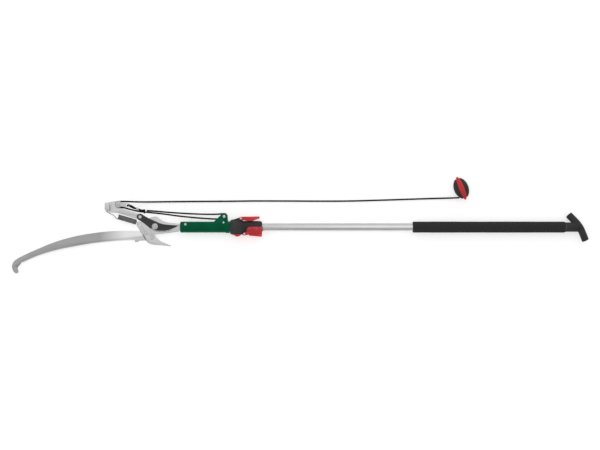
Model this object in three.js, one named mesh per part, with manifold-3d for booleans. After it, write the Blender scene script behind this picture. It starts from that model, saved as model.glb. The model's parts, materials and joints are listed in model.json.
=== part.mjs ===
// Telescoping pole saw: a rope-pulled pruning head and a curved saw on a two-tube pole.
// Millimetres, +Z up. The tool lies flat: the pole runs along X with the head at the -X end,
// and the cutting plane is the XY plane. Inside the tool group, X = 0 is the blade's pivot and
// Y = Z = 0 is the pole's axis; the group then stands on Z = 0, centred on its own box.
import * as THREE from "three";
import { mergeVertices } from "three/addons/utils/BufferGeometryUtils.js";
import Module from "manifold-3d";

const wasm = await Module();
wasm.setup();

// ---------------------------------------------------------------- driving dimensions
const GAP = 0.3; // clearance between pieces that touch
const ROUND = 28; // sides of a large round
const SMALL_ROUND = 12; // sides of a bolt, rivet or rope
const PAST = 5; // how far a bore's cutter runs out beyond the piece
const THROUGH = 60; // a cutter this far from the axis passes right through a piece

// cutting head
const PLATE = 4; // hook frame and pull lever
const BLADE = 3; // cutting blade
const SAW = 1.6;
const PIVOT = new THREE.Vector2(0, 2);
const PIVOT_R = 4;
const PIVOT_WASHER = 1.2;
const PIVOT_NUT = 5;
const LEVER_RIVET = new THREE.Vector2(-44.5, 30.5);
const LEVER_RIVET_R = 3;
const LEVER_RIVET_HEAD_R = 5.2;
const LEVER_PULLEY = new THREE.Vector2(-109, 68.5);
const LEVER_FOLD = 2.6; // the lever's free end is folded up and over
const LEVER_FOLD_X = [-150, -136];
const LEVER_FOLD_Y = [50.5, 73.5];
const LEVER_FOLD_TOP = 11;
const LEVER_CLEAR_R = 34; // the lever's root stays outside this circle about the pivot
const FRAME_TOP_R = 30; // the frame's top stays inside this one
const SPRING_EYE = new THREE.Vector2(-46, 7);
const SPRING_POST = new THREE.Vector2(-139, 46);
const SPRING_START = new THREE.Vector3(-111.5, 31, 0);
const SPRING_END = new THREE.Vector3(-55.5, 14.3, 0);
const SPRING_R = 8;
const SPRING_WIRE_R = 1.1;
const SAW_BOLTS = [new THREE.Vector2(-28, -19), new THREE.Vector2(-9, -32)];
const SAW_BOLT_R = 3;
const WING_HUB = 8; // height of a wing nut's round body
const TOOTH_PITCH = 6.2;
const TOOTH_DEPTH = 4.2;
const TOOTH_LEAN = 0.72; // where a tooth's point stands along its pitch
const TANG_END = 112;
const TANG_Y = [-12, 11];
const RIVET_R = 2.5;
const RIVET_HEAD_R = 3.8;
const HEAD_H = 1.4; // height of rivet and screw heads
const SINK = 0.5; // how far a shank reaches into its head

// pole
const OUTER_TUBE_R = 13;
const TUBE_WALL = 1.2;
const TUBE_PLAY = 1.1; // room between the two tubes
const OUTER_TUBE_LENGTH = 988;
const POLE_TRAVEL = 700;
const TUBE_OVERLAP = 54; // what stays in the outer tube at full length
const GUIDE_LENGTH = 30;
const GUIDE_RING = 8;
const GUIDE_WALL = 3;
const FOAM = 3.4; // thickness of the sleeve
const FOAM_LENGTH = 459;
const FOAM_CHAMFER = 2;
const HANDLE_NECK_LENGTH = 36;
const HANDLE_NECK_WALL = 1;
const HANDLE_SOCKET_DEPTH = 20;
const HANDLE_SCREW_R = 1.6;
const HANDLE_BAR_R = 11;
const HANDLE_BAR_BORE_R = 8;
const HANDLE_BAR_LEFT = [-9.5, 37]; // from the outer tube's end, in the XY plane
const HANDLE_BAR_MIDDLE = [20.5, 2.5];
const HANDLE_BAR_RIGHT = [38, -40];

// the tubes' other sizes, from the ones above
const INNER_TUBE_R = OUTER_TUBE_R - TUBE_WALL - TUBE_PLAY;
const INNER_TUBE_FRONT = TANG_END + 6; // the tang ends before the tube starts
const FOAM_R = OUTER_TUBE_R + GAP + FOAM;
const HANDLE_NECK_R = OUTER_TUBE_R + GAP + HANDLE_NECK_WALL;

// socket that carries the head on the inner tube
const SOCKET_R = INNER_TUBE_R + GAP + 5.5;
const SOCKET_LIP = 1.5; // how far the rear rim stands out
const SOCKET_FRONT = TANG_END - 36;
const SOCKET_REAR = INNER_TUBE_FRONT + 106;
const FIN_HEAD_R = 10;
const FIN_CHEEK = 4; // thickness of each side of the fin
const FIN_PULLEY = new THREE.Vector2(SOCKET_REAR - 16.4, SOCKET_R + 15.5);
const FIN_SCREW = new THREE.Vector2(SOCKET_REAR - 18, SOCKET_R - 2.8);
const FIN_SCREW_R = 1.3;
const FIN_SCREW_HEAD_R = 3.2;
const TANG_RIVET = new THREE.Vector2(TANG_END - 20, TANG_Y[1] - RIVET_R - 0.1);
const TUBE_SCREW = new THREE.Vector3(INNER_TUBE_FRONT + 32, 0, 0);
const TUBE_SCREW_R = 2;

// clamp between the tubes
const CLAMP_R = OUTER_TUBE_R + GAP + 5.2;
const COLLAR_R = CLAMP_R + 4.5;
const COLLAR_LENGTH = 40;
const CLAMP_FRONT = SOCKET_REAR + 1;
const CLAMP_LENGTH = 96;
const CLAMP_SLIT = 3;
const CLAMP_STEP = 2; // the outer tube's end stops this far behind the narrow bore
const OUTER_TUBE_FRONT = CLAMP_FRONT + COLLAR_LENGTH - 1;
const LEVER_PIN_R = 2;
const LEVER_PIN_HEAD_R = 3.4;
const EAR_Z = 10;
const LEVER_HUB_R = 5;
const LEVER_HALF_WIDTH = 14;
const LEVER_AIR = 0.7; // room between a lever and what it closes on
const UPPER_PIN = new THREE.Vector2(CLAMP_FRONT + COLLAR_LENGTH - 7, COLLAR_R + 3.2);
const LOWER_PIN = new THREE.Vector2(CLAMP_FRONT + COLLAR_LENGTH + 3, -CLAMP_R - 2);
const LOWER_TOP = 1; // the lower lever wraps the clamp up to here
const LOWER_CORNER_R = 11;
const LOWER_WALL = 2.1;
const KEEL_R = 3;
const KEEL_Z = 9;
const FLOOR_DROP = CLAMP_R + 2 * LEVER_AIR + LOWER_WALL; // from the pole's axis to the ground

// rope and pulleys
const ROPE_R = 2.5;
const CRIMP_LOW = 5 + 2 * ROPE_R; // height of the crimp's lower strand, clear of the rope below
const KNOT = new THREE.Vector3(-32.5, 49.2, CRIMP_LOW + 2.8);
const KNOT_R = 4.6;
const FERRULE_LENGTH = 8;
const FERRULE_R = ROPE_R + 1.2;
const BECKET = 1.6;
const BECKET_EYE = new THREE.Vector2(-82, 65.5);
const BECKET_WALL = 2.7;
const EYE_ROPE_R = 0.85 * ROPE_R; // the rope draws thin where it is pulled round its eye
const BECKET_EYE_R = EYE_ROPE_R + 1.7;
const PULLEY_ROPE_R = 8.2; // pulley centre to rope centre
const PULLEY_LIP = 1.8; // how far the rim stands past the rope's centre
const PULLEY_CHEEK = 0.7; // thickness of the rim each side of the groove
const PULLEY_AXLE_R = 2.5;
const AXLE_HEAD_R = 4.6;
const AXLE_HEAD_H = 2;
const PULLEY_RIM_R = PULLEY_ROPE_R + PULLEY_LIP;
const PULLEY_GROOVE_R = PULLEY_ROPE_R - ROPE_R - 0.8;
const PULLEY_WIDTH = 2 * (ROPE_R + GAP + PULLEY_CHEEK);
const LEVER_PULLEY_Z = (PLATE + PULLEY_WIDTH) / 2 + 0.7; // middle of the lever's pulley
const FIN_Z = PULLEY_WIDTH / 2 + 0.5 + FIN_CHEEK;

// pull handle on the rope's end
const WINDER = new THREE.Vector3(919, 116.5, 18 - FLOOR_DROP);
const WINDER_TURN = THREE.MathUtils.degToRad(-68.3); // long way of the handle in the XY plane
const WINDER_LENGTH = 74;
const WINDER_HEIGHT = 36;
const WINDER_CORE = 17;
const WINDER_WIDTH = 45;
const GRIP_LENGTH = 63;
const GRIP_HEIGHT = 28;
const WINDER_THIN = 0.3; // share of the core's thickness left at its two ends
const GRIP_THIN = 0.75;

// ---------------------------------------------------------------- materials
const finish = (color, roughness, metalness) =>
  new THREE.MeshStandardMaterial({ color, roughness, metalness });
const ALUMINIUM = finish(0xc9cacb, 0.32, 0.9);
const STEEL = finish(0xb9bbbd, 0.3, 0.95);
const SAW_STEEL = finish(0xbfc0c1, 0.25, 0.95);
const COATED = finish(0x35363a, 0.45, 0.4);
const SPRING_STEEL = finish(0x6a6c6e, 0.4, 0.8);
const GREEN = finish(0x07562f, 0.35, 0.0);
const BLACK = finish(0x333333, 0.5, 0.0);
const RED = finish(0xc8203a, 0.4, 0.0);
const FOAM_BLACK = finish(0x303030, 0.9, 0.0);
const ROPE = finish(0x1c1d1d, 0.85, 0.0);

// ---------------------------------------------------------------- solids
const tool = new THREE.Group();

function solid(geometry) {
  const plain = geometry.index ? geometry.toNonIndexed() : geometry.clone();
  for (const name of Object.keys(plain.attributes)) {
    if (name !== "position") plain.deleteAttribute(name);
  }
  const merged = mergeVertices(plain, 1e-4);
  return new wasm.Manifold(
    new wasm.Mesh({
      numProp: 3,
      vertProperties: merged.attributes.position.array,
      triVerts: new Uint32Array(merged.index.array),
    }),
  );
}

function add(name, body, material) {
  const mesh = body.getMesh();
  const geometry = new THREE.BufferGeometry();
  geometry.setAttribute("position", new THREE.BufferAttribute(mesh.vertProperties, 3));
  geometry.setIndex(new THREE.BufferAttribute(mesh.triVerts, 1));
  const piece = new THREE.Mesh(geometry, material);
  piece.name = name;
  tool.add(piece);
}

const join = (first, ...rest) => rest.reduce((sum, next) => sum.add(next), first);
const cut = (first, ...rest) => rest.reduce((left, next) => left.subtract(next), first);

function rod(from, to, radius, sides = ROUND) {
  const along = to.clone().sub(from);
  const geometry = new THREE.CylinderGeometry(radius, radius, along.length(), sides);
  const turn = new THREE.Quaternion().setFromUnitVectors(
    new THREE.Vector3(0, 1, 0),
    along.clone().normalize(),
  );
  geometry.applyQuaternion(turn);
  geometry.translate(...from.clone().lerp(to, 0.5).toArray());
  return solid(geometry);
}

// A round bar on the pole's axis, from one X to another.
const bar = (x0, x1, radius, sides) =>
  rod(new THREE.Vector3(x0, 0, 0), new THREE.Vector3(x1, 0, 0), radius, sides);

// A round pin along Z at a place in the XY plane.
const pin = (place, z0, z1, radius, sides = SMALL_ROUND) =>
  rod(new THREE.Vector3(place.x, place.y, z0), new THREE.Vector3(place.x, place.y, z1), radius, sides);

// A shank from low to high with a round head beyond each end.
const twoHeaded = (place, low, high, shankR, headR, height = HEAD_H) =>
  join(
    pin(place, low - SINK, high + SINK, shankR),
    pin(place, high, high + height, headR),
    pin(place, low - height, low, headR),
  );

function block(x0, x1, y0, y1, z0, z1) {
  const geometry = new THREE.BoxGeometry(x1 - x0, y1 - y0, z1 - z0);
  geometry.translate((x0 + x1) / 2, (y0 + y1) / 2, (z0 + z1) / 2);
  return solid(geometry);
}

function plate(shape, z0, z1, curveSegments = 4) {
  const geometry = new THREE.ExtrudeGeometry(shape, {
    depth: z1 - z0,
    bevelEnabled: false,
    curveSegments,
  });
  geometry.translate(0, 0, z0);
  return solid(geometry);
}

const points = (list) => list.map(([x, y]) => new THREE.Vector2(x, y));

function polygon(list) {
  return new THREE.Shape(points(list));
}

// A convex outline round several circles, each [x, y, radius], taken in counter-clockwise order.
function hullOf(circles, sides = 16) {
  const all = [];
  for (const [x, y, radius] of circles) {
    for (let i = 0; i < sides; i += 1) {
      const angle = (2 * Math.PI * i) / sides;
      all.push([x + radius * Math.cos(angle), y + radius * Math.sin(angle)]);
    }
  }
  all.sort((a, b) => a[0] - b[0] || a[1] - b[1]);
  const turn = (o, a, b) => (a[0] - o[0]) * (b[1] - o[1]) - (a[1] - o[1]) * (b[0] - o[0]);
  const half = (list) => {
    const chain = [];
    for (const point of list) {
      while (chain.length > 1 && turn(chain.at(-2), chain.at(-1), point) <= 1e-9) chain.pop();
      chain.push(point);
    }
    chain.pop();
    return chain;
  };
  return polygon([...half(all), ...half(all.toReversed())]);
}

// A tube of round section along a smooth path.
function sweep(curve, radius, sides, steps) {
  const section = new THREE.Shape();
  section.absarc(0, 0, radius, 0, 2 * Math.PI);
  const geometry = new THREE.ExtrudeGeometry(section, {
    steps,
    extrudePath: curve,
    curveSegments: sides,
  });
  return solid(geometry);
}

function arcPoints(centre, radius, start, end, steps) {
  const list = [];
  for (let i = 0; i <= steps; i += 1) {
    const angle = THREE.MathUtils.degToRad(start + ((end - start) * i) / steps);
    list.push([centre.x + radius * Math.cos(angle), centre.y + radius * Math.sin(angle)]);
  }
  return list;
}

function splinePoints(list, steps) {
  return new THREE.SplineCurve(points(list)).getPoints(steps).map((p) => [p.x, p.y]);
}

// ---------------------------------------------------------------- pole
const tubeRear = OUTER_TUBE_FRONT + OUTER_TUBE_LENGTH;
const innerRear = OUTER_TUBE_FRONT + POLE_TRAVEL + TUBE_OVERLAP;
const neckFront = tubeRear - HANDLE_SOCKET_DEPTH;

function makePole() {
  const outer = bar(OUTER_TUBE_FRONT, tubeRear, OUTER_TUBE_R);
  const outerBore = OUTER_TUBE_R - TUBE_WALL;
  const screw = new THREE.Vector3(neckFront + HANDLE_SOCKET_DEPTH / 2, 0, 0);
  const screwTop = HANDLE_NECK_R + 0.6;
  const screwHole = pin(screw, -screwTop - PAST, 0, HANDLE_SCREW_R + GAP);
  add(
    "outer_tube",
    cut(outer, bar(OUTER_TUBE_FRONT - PAST, tubeRear + PAST, outerBore), screwHole),
    ALUMINIUM,
  );
  const inner = bar(INNER_TUBE_FRONT, innerRear, INNER_TUBE_R);
  const innerBore = INNER_TUBE_R - TUBE_WALL;
  const holes = pin(TUBE_SCREW, -SOCKET_R - PAST, 0, TUBE_SCREW_R + GAP);
  add(
    "inner_tube",
    cut(inner, bar(INNER_TUBE_FRONT - PAST, innerRear + PAST, innerBore), holes),
    ALUMINIUM,
  );
  // nylon guide on the inner tube's rear end: a spigot in the tube and a ring behind it
  const ringFront = innerRear + GAP;
  const ringRear = ringFront + GUIDE_RING;
  const spigot = bar(innerRear - GUIDE_LENGTH, ringFront + 1, innerBore - GAP);
  const ring = bar(ringFront, ringRear, outerBore - GAP);
  const guideBoreR = innerBore - GUIDE_WALL;
  const guideBore = bar(innerRear - GUIDE_LENGTH - PAST, ringRear + PAST, guideBoreR);
  add("inner_tube_guide", cut(join(spigot, ring), guideBore), BLACK);

  const foamRear = neckFront - GAP;
  const foamFront = foamRear - FOAM_LENGTH;
  const bore = OUTER_TUBE_R + GAP;
  const profile = [
    [bore, foamFront],
    [FOAM_R - FOAM_CHAMFER, foamFront],
    [FOAM_R, foamFront + FOAM_CHAMFER],
    [FOAM_R, foamRear - 3 * FOAM_CHAMFER],
    [FOAM_R - FOAM_CHAMFER, foamRear],
    [bore, foamRear],
    [bore, foamFront],
  ];
  const foam = new THREE.LatheGeometry(points(profile), ROUND);
  foam.rotateZ(-Math.PI / 2);
  add("foam_grip", solid(foam), FOAM_BLACK);

  add("end_handle", makeHandle(screwHole), BLACK);
  const screwBody = pin(screw, -screwTop, 3 - OUTER_TUBE_R, HANDLE_SCREW_R);
  const screwHead = pin(screw, -HANDLE_NECK_R - 2, -HANDLE_NECK_R - GAP, 2 * HANDLE_SCREW_R);
  add("handle_screw", join(screwBody, screwHead), STEEL);
}

// The hand bar leans across the pole and bows away from it, and one end stands higher.
function makeHandle(screwHole) {
  const rise = HANDLE_BAR_R - 0.2;
  const place = ([x, y], z) => new THREE.Vector3(tubeRear + x, y, z);
  const low = place(HANDLE_BAR_LEFT, -rise);
  const middle = place(HANDLE_BAR_MIDDLE, 0);
  const high = place(HANDLE_BAR_RIGHT, rise);
  const spine = new THREE.CatmullRomCurve3([low, middle, high]);
  const grip = sweep(spine, HANDLE_BAR_R, 9, 12);
  const neck = bar(neckFront, neckFront + HANDLE_NECK_LENGTH, HANDLE_NECK_R);
  const socket = bar(neckFront - 5, tubeRear + GAP, OUTER_TUBE_R + GAP);
  const depth = 0.2;
  const mouths = [
    [low, spine.getPoint(depth)],
    [high, spine.getPoint(1 - depth)],
  ].map(([mouth, inside]) => {
    const out = mouth.clone().sub(inside).normalize().multiplyScalar(4);
    return rod(inside, mouth.clone().add(out), HANDLE_BAR_BORE_R, 16);
  });
  return cut(join(grip, neck), socket, screwHole, ...mouths);
}

// ---------------------------------------------------------------- clamp
const clampRear = CLAMP_FRONT + CLAMP_LENGTH;

function makeClamp() {
  const collarEnd = CLAMP_FRONT + COLLAR_LENGTH;
  const body = [
    [INNER_TUBE_R + GAP, CLAMP_FRONT],
    [COLLAR_R - 4, CLAMP_FRONT],
    [COLLAR_R, CLAMP_FRONT + 6],
    [COLLAR_R, collarEnd - 8],
    [CLAMP_R, collarEnd],
    [CLAMP_R, clampRear - 5],
    [CLAMP_R - 3, clampRear],
    [OUTER_TUBE_R + GAP, clampRear],
    [OUTER_TUBE_R + GAP, OUTER_TUBE_FRONT - CLAMP_STEP],
    [INNER_TUBE_R + GAP, OUTER_TUBE_FRONT - CLAMP_STEP],
    [INNER_TUBE_R + GAP, CLAMP_FRONT],
  ];
  const turned = new THREE.LatheGeometry(points(body), ROUND);
  turned.rotateZ(-Math.PI / 2);
  const upperEar = plate(
    hullOf([
      [UPPER_PIN.x, UPPER_PIN.y, LEVER_HUB_R - 1],
      [CLAMP_FRONT + 12, COLLAR_R - 5, 5],
      [UPPER_PIN.x, COLLAR_R - 6, 5],
    ]),
    -EAR_Z,
    EAR_Z,
  );
  const lowerEar = plate(
    hullOf([
      [LOWER_PIN.x, LOWER_PIN.y, LEVER_HUB_R - 1],
      [LOWER_PIN.x - 12, -CLAMP_R, 2],
      [LOWER_PIN.x + 8, -CLAMP_R + 2, 2],
    ]),
    -EAR_Z,
    EAR_Z,
  );
  const bore = bar(CLAMP_FRONT - PAST, clampRear + PAST, INNER_TUBE_R + GAP);
  const rearBore = bar(OUTER_TUBE_FRONT - CLAMP_STEP, clampRear + PAST, OUTER_TUBE_R + GAP);
  const half = CLAMP_SLIT / 2;
  const slit = block(CLAMP_FRONT - PAST, clampRear + PAST, 0, 40, -half, half);
  const foot = block(CLAMP_FRONT - PAST, clampRear + PAST, -60, 60, -60, -FLOOR_DROP);
  const pins = [
    pin(UPPER_PIN, -THROUGH, THROUGH, LEVER_PIN_R + GAP),
    pin(LOWER_PIN, -THROUGH, THROUGH, LEVER_PIN_R + GAP),
  ];
  const shell = join(solid(turned), upperEar, lowerEar);
  add("clamp_body", cut(shell, bore, rearBore, slit, foot, ...pins), BLACK);

  for (const [name, place] of [
    ["upper_lever_pin", UPPER_PIN],
    ["lower_lever_pin", LOWER_PIN],
  ]) {
    const out = LEVER_HALF_WIDTH + GAP;
    add(name, twoHeaded(place, -out, out, LEVER_PIN_R, LEVER_PIN_HEAD_R), STEEL);
  }
  makeShoe();
  add("upper_clamp_lever", makeUpperLever(), RED);
  add("lower_clamp_lever", makeLowerLever(), RED);
}

// Red wear shoe under the collar's lower side.
function makeShoe() {
  const front = CLAMP_FRONT + 9;
  const rear = LOWER_PIN.x - LEVER_HUB_R - 3;
  const outline = new THREE.Shape();
  outline.moveTo(front, -COLLAR_R + 2);
  outline.quadraticCurveTo((front + rear) / 2, -COLLAR_R - 13, rear, -COLLAR_R + 2);
  const blank = plate(outline, -11, 11, 12);
  const seat = bar(CLAMP_FRONT - 5, clampRear, COLLAR_R + GAP);
  add("clamp_shoe", cut(blank, seat, lowerEarRoom()), RED);
}

const lowerEarRoom = () =>
  block(LOWER_PIN.x - 15, LOWER_PIN.x + 20, -60, 0, -EAR_Z - GAP, EAR_Z + GAP);

function makeUpperLever() {
  const tail = clampRear - 4;
  const outline = hullOf([
    [UPPER_PIN.x, UPPER_PIN.y, LEVER_HUB_R],
    [tail - 6, UPPER_PIN.y + 2.6, 3.2],
    [UPPER_PIN.x + 20, UPPER_PIN.y - 2.6, 5.4],
    [UPPER_PIN.x + 34, UPPER_PIN.y - 2.6, 5.2],
  ]);
  const blank = plate(outline, -LEVER_HALF_WIDTH, LEVER_HALF_WIDTH);
  const reach = LEVER_HUB_R + 2;
  const earRoom = block(
    CLAMP_FRONT,
    UPPER_PIN.x + reach,
    0,
    60,
    -EAR_Z - GAP,
    EAR_Z + GAP,
  );
  const hole = pin(UPPER_PIN, -THROUGH, THROUGH, LEVER_PIN_R + GAP);
  const bodyRoom = bar(CLAMP_FRONT, clampRear + PAST, CLAMP_R + LEVER_AIR);
  return cut(blank, earRoom, hole, collarRoom(), bodyRoom);
}

// The lower lever is a trough that wraps the clamp's lower half, with a keel along its bottom.
function makeLowerLever() {
  const inside = CLAMP_R + LEVER_AIR;
  const outside = FLOOR_DROP - LEVER_AIR;
  const front = LOWER_PIN.x + LEVER_HUB_R + 2;
  const corner = new THREE.Vector2(front + LOWER_CORNER_R, LOWER_TOP - LOWER_CORNER_R);
  const cornerCut = cut(
    block(front - PAST, corner.x, corner.y, LOWER_TOP + PAST, -THROUGH, THROUGH),
    pin(corner, -THROUGH, THROUGH, LOWER_CORNER_R, ROUND),
  );
  const trough = cut(
    bar(front, clampRear, outside),
    block(front - PAST, clampRear + PAST, LOWER_TOP, THROUGH, -THROUGH, THROUGH),
    cornerCut,
  );
  const cheeks = plate(
    hullOf([
      [LOWER_PIN.x, LOWER_PIN.y, LEVER_HUB_R],
      [front + 3, LOWER_PIN.y + 2, LEVER_HUB_R],
    ]),
    -LEVER_HALF_WIDTH,
    LEVER_HALF_WIDTH,
  );
  const keel = plate(
    hullOf([
      [front + 2, -FLOOR_DROP, KEEL_R],
      [clampRear - KEEL_R, -FLOOR_DROP - 4, KEEL_R],
      [clampRear - KEEL_R, -CLAMP_R, KEEL_R],
      [front + 2, -CLAMP_R, KEEL_R],
    ]),
    -KEEL_Z,
    KEEL_Z,
  );
  const room = bar(CLAMP_FRONT, clampRear + PAST, inside);
  const hubReach = LOWER_PIN.x + 2 * LEVER_HUB_R + 4;
  const earTop = EAR_Z + GAP;
  const earRoom = block(LOWER_PIN.x - 20, hubReach, -THROUGH, 0, -earTop, earTop);
  const hole = pin(LOWER_PIN, -THROUGH, THROUGH, LEVER_PIN_R + GAP);
  return cut(join(trough, cheeks, keel), room, earRoom, hole, collarRoom());
}

// The round space that both levers leave for the collar.
const collarRoom = () =>
  bar(CLAMP_FRONT - PAST, CLAMP_FRONT + COLLAR_LENGTH + 1, COLLAR_R + LEVER_AIR);

// ---------------------------------------------------------------- socket

function makeSocket() {
  const barrel = [
    [0, SOCKET_FRONT],
    [SOCKET_R - 2, SOCKET_FRONT],
    [SOCKET_R, SOCKET_FRONT + 2],
    [SOCKET_R, SOCKET_REAR - 14],
    [SOCKET_R + SOCKET_LIP, SOCKET_REAR - 10],
    [SOCKET_R + SOCKET_LIP, SOCKET_REAR],
    [0, SOCKET_REAR],
  ];
  const turned = new THREE.LatheGeometry(points(barrel), ROUND);
  turned.rotateZ(-Math.PI / 2);
  const fin = plate(
    hullOf([
      [FIN_PULLEY.x, FIN_PULLEY.y, FIN_HEAD_R],
      [SOCKET_REAR - 6, 8, 2],
      [FIN_PULLEY.x - 34, 8, 2],
      [FIN_PULLEY.x - 30, SOCKET_R - 1, 1],
    ]),
    -FIN_Z,
    FIN_Z,
  );
  const slotHalf = PULLEY_WIDTH / 2 + 0.5;
  const slotFloor = SOCKET_R + 1;
  const slotFront = FIN_PULLEY.x - 50;
  const slot = block(slotFront, SOCKET_REAR + PAST, slotFloor, THROUGH, -slotHalf, slotHalf);
  const tang = block(
    SOCKET_FRONT - PAST,
    TANG_END + GAP,
    TANG_Y[0] - GAP,
    TANG_Y[1] + GAP,
    -PLATE / 2 - GAP,
    PLATE / 2 + GAP,
  );
  const bore = bar(INNER_TUBE_FRONT - GAP, SOCKET_REAR + PAST, INNER_TUBE_R + GAP);
  const holes = [
    pin(TANG_RIVET, -THROUGH, THROUGH, RIVET_R + GAP),
    pin(FIN_SCREW, -THROUGH, THROUGH, FIN_SCREW_R + GAP),
    pin(FIN_PULLEY, -THROUGH, THROUGH, PULLEY_AXLE_R + GAP),
    pin(TUBE_SCREW, -THROUGH, 0, TUBE_SCREW_R + GAP),
  ];
  add("head_socket", cut(join(solid(turned), fin), slot, tang, bore, ...holes), GREEN);

  // the barrel is round, so the rivet's heads stand on the height of the wall at its place
  const wall = Math.sqrt(SOCKET_R ** 2 - (TANG_RIVET.y - RIVET_HEAD_R) ** 2) + GAP;
  add("socket_rivet", twoHeaded(TANG_RIVET, -wall, wall, RIVET_R, RIVET_HEAD_R), STEEL);
  const round = Math.sqrt(SOCKET_R ** 2 - (FIN_SCREW.y - FIN_SCREW_HEAD_R) ** 2);
  const side = Math.max(FIN_Z, round) + GAP;
  add("fin_screw", twoHeaded(FIN_SCREW, -side, side, FIN_SCREW_R, FIN_SCREW_HEAD_R), STEEL);
  const out = SOCKET_R + GAP;
  add(
    "tube_screw",
    join(
      pin(TUBE_SCREW, -out - SINK, -(INNER_TUBE_R - TUBE_WALL - 2), TUBE_SCREW_R),
      pin(TUBE_SCREW, -out - HEAD_H, -out, RIVET_HEAD_R),
    ),
    STEEL,
  );
}

// ---------------------------------------------------------------- pulleys
const becketBottom = LEVER_PULLEY_Z + PULLEY_WIDTH / 2 + GAP;
const becketTop = becketBottom + BECKET;

function pulley(place, z) {
  const half = PULLEY_WIDTH / 2;
  const groove = PULLEY_GROOVE_R;
  const bore = PULLEY_AXLE_R + GAP;
  const lip = ROPE_R + GAP;
  const profile = [
    [bore, -half],
    [PULLEY_RIM_R, -half],
    [PULLEY_RIM_R, -lip - 0.2],
    [groove, -lip],
    [groove, lip],
    [PULLEY_RIM_R, lip + 0.2],
    [PULLEY_RIM_R, half],
    [bore, half],
    [bore, -half],
  ];
  const wheel = new THREE.LatheGeometry(points(profile), 20);
  wheel.rotateX(Math.PI / 2);
  wheel.translate(place.x, place.y, z);
  return solid(wheel);
}

function makePulleys() {
  add("bracket_pulley", pulley(FIN_PULLEY, 0), STEEL);
  const out = FIN_Z + GAP;
  add("bracket_axle", twoHeaded(FIN_PULLEY, -out, out, PULLEY_AXLE_R, AXLE_HEAD_R), STEEL);
  add("lever_pulley", pulley(LEVER_PULLEY, LEVER_PULLEY_Z), STEEL);
  const low = -PLATE / 2 - GAP;
  const high = becketTop + 2 * GAP;
  add(
    "lever_axle",
    twoHeaded(LEVER_PULLEY, low, high, PULLEY_AXLE_R, AXLE_HEAD_R, AXLE_HEAD_H),
    STEEL,
  );
  makeBecket();
}

// Strap that hangs on the lever's axle over the pulley and holds the rope's dead end.
function makeBecket() {
  const strap = plate(
    hullOf([
      [LEVER_PULLEY.x, LEVER_PULLEY.y, 6],
      [BECKET_EYE.x, BECKET_EYE.y, BECKET_EYE_R + BECKET_WALL],
    ]),
    becketBottom,
    becketTop,
  );
  const holes = [
    pin(LEVER_PULLEY, -THROUGH, THROUGH, PULLEY_AXLE_R + GAP),
    pin(BECKET_EYE, -THROUGH, THROUGH, BECKET_EYE_R),
  ];
  add("rope_becket", cut(strap, ...holes), STEEL);
}

// ---------------------------------------------------------------- cutting head
function frameOutline() {
  const top = arcPoints(PIVOT, FRAME_TOP_R, 78, 146, 8);
  const lobe = arcPoints(SPRING_EYE, 9, 80, 235, 8);
  const outer = splinePoints(
    [
      [-47, -8],
      [-37, -24],
      [-26, -42.5],
      [-10, -51.5],
      [17, -54.5],
      [48, -58],
    ],
    16,
  );
  const inner = splinePoints(
    [
      [49, -55.5],
      [28, -47],
      [17, -42],
      [5, -31.5],
      [0, -22],
    ],
    12,
  );
  const belly = splinePoints(
    [
      [17, -20.8],
      [48, -17],
      [SOCKET_FRONT, TANG_Y[0] - 0.8],
    ],
    6,
  );
  const shoulder = splinePoints(
    [
      [SOCKET_FRONT - 2, TANG_Y[1] - 0.4],
      [48, 13],
      [30, 16.5],
      [17, 23],
    ],
    8,
  );
  return polygon([
    [TANG_END, TANG_Y[1]],
    [SOCKET_FRONT, TANG_Y[1]],
    ...shoulder,
    ...top,
    ...lobe,
    ...outer,
    ...inner,
    ...belly.slice(0, -1),
    [SOCKET_FRONT - 2, TANG_Y[0]],
    [TANG_END, TANG_Y[0]],
  ]);
}

function bladeOutline() {
  const back = splinePoints(
    [
      [-37, 37],
      [-19, 27],
      [2, 17],
      [17, 10.8],
      [33, 7.6],
      [69, 5],
    ],
    16,
  );
  const edge = splinePoints(
    [
      [68.6, 3.6],
      [56, -6.5],
      [40, -13],
      [25, -15],
      [2, -13.6],
      [-8, -8.6],
      [-20, 1],
      [-36, 14],
    ],
    22,
  );
  const tail = arcPoints(LEVER_RIVET, 10, 236, 52, 12);
  return polygon([...back, ...edge, ...tail]);
}

function leverOutline() {
  const root = arcPoints(PIVOT, LEVER_CLEAR_R + 4, 152, 136, 4);
  return polygon([
    ...root,
    [-36, 37.5],
    [-56, 42.5],
    [-96, 54],
    [-97, 60],
    [-102, 75],
    [-112, 79],
    [-128, 77],
    [-147, 73],
    [-149, 68],
    [-147.5, 48],
    [-143, 43.2],
    [-112, 42.5],
    [-57, 25.5],
  ]);
}

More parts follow.
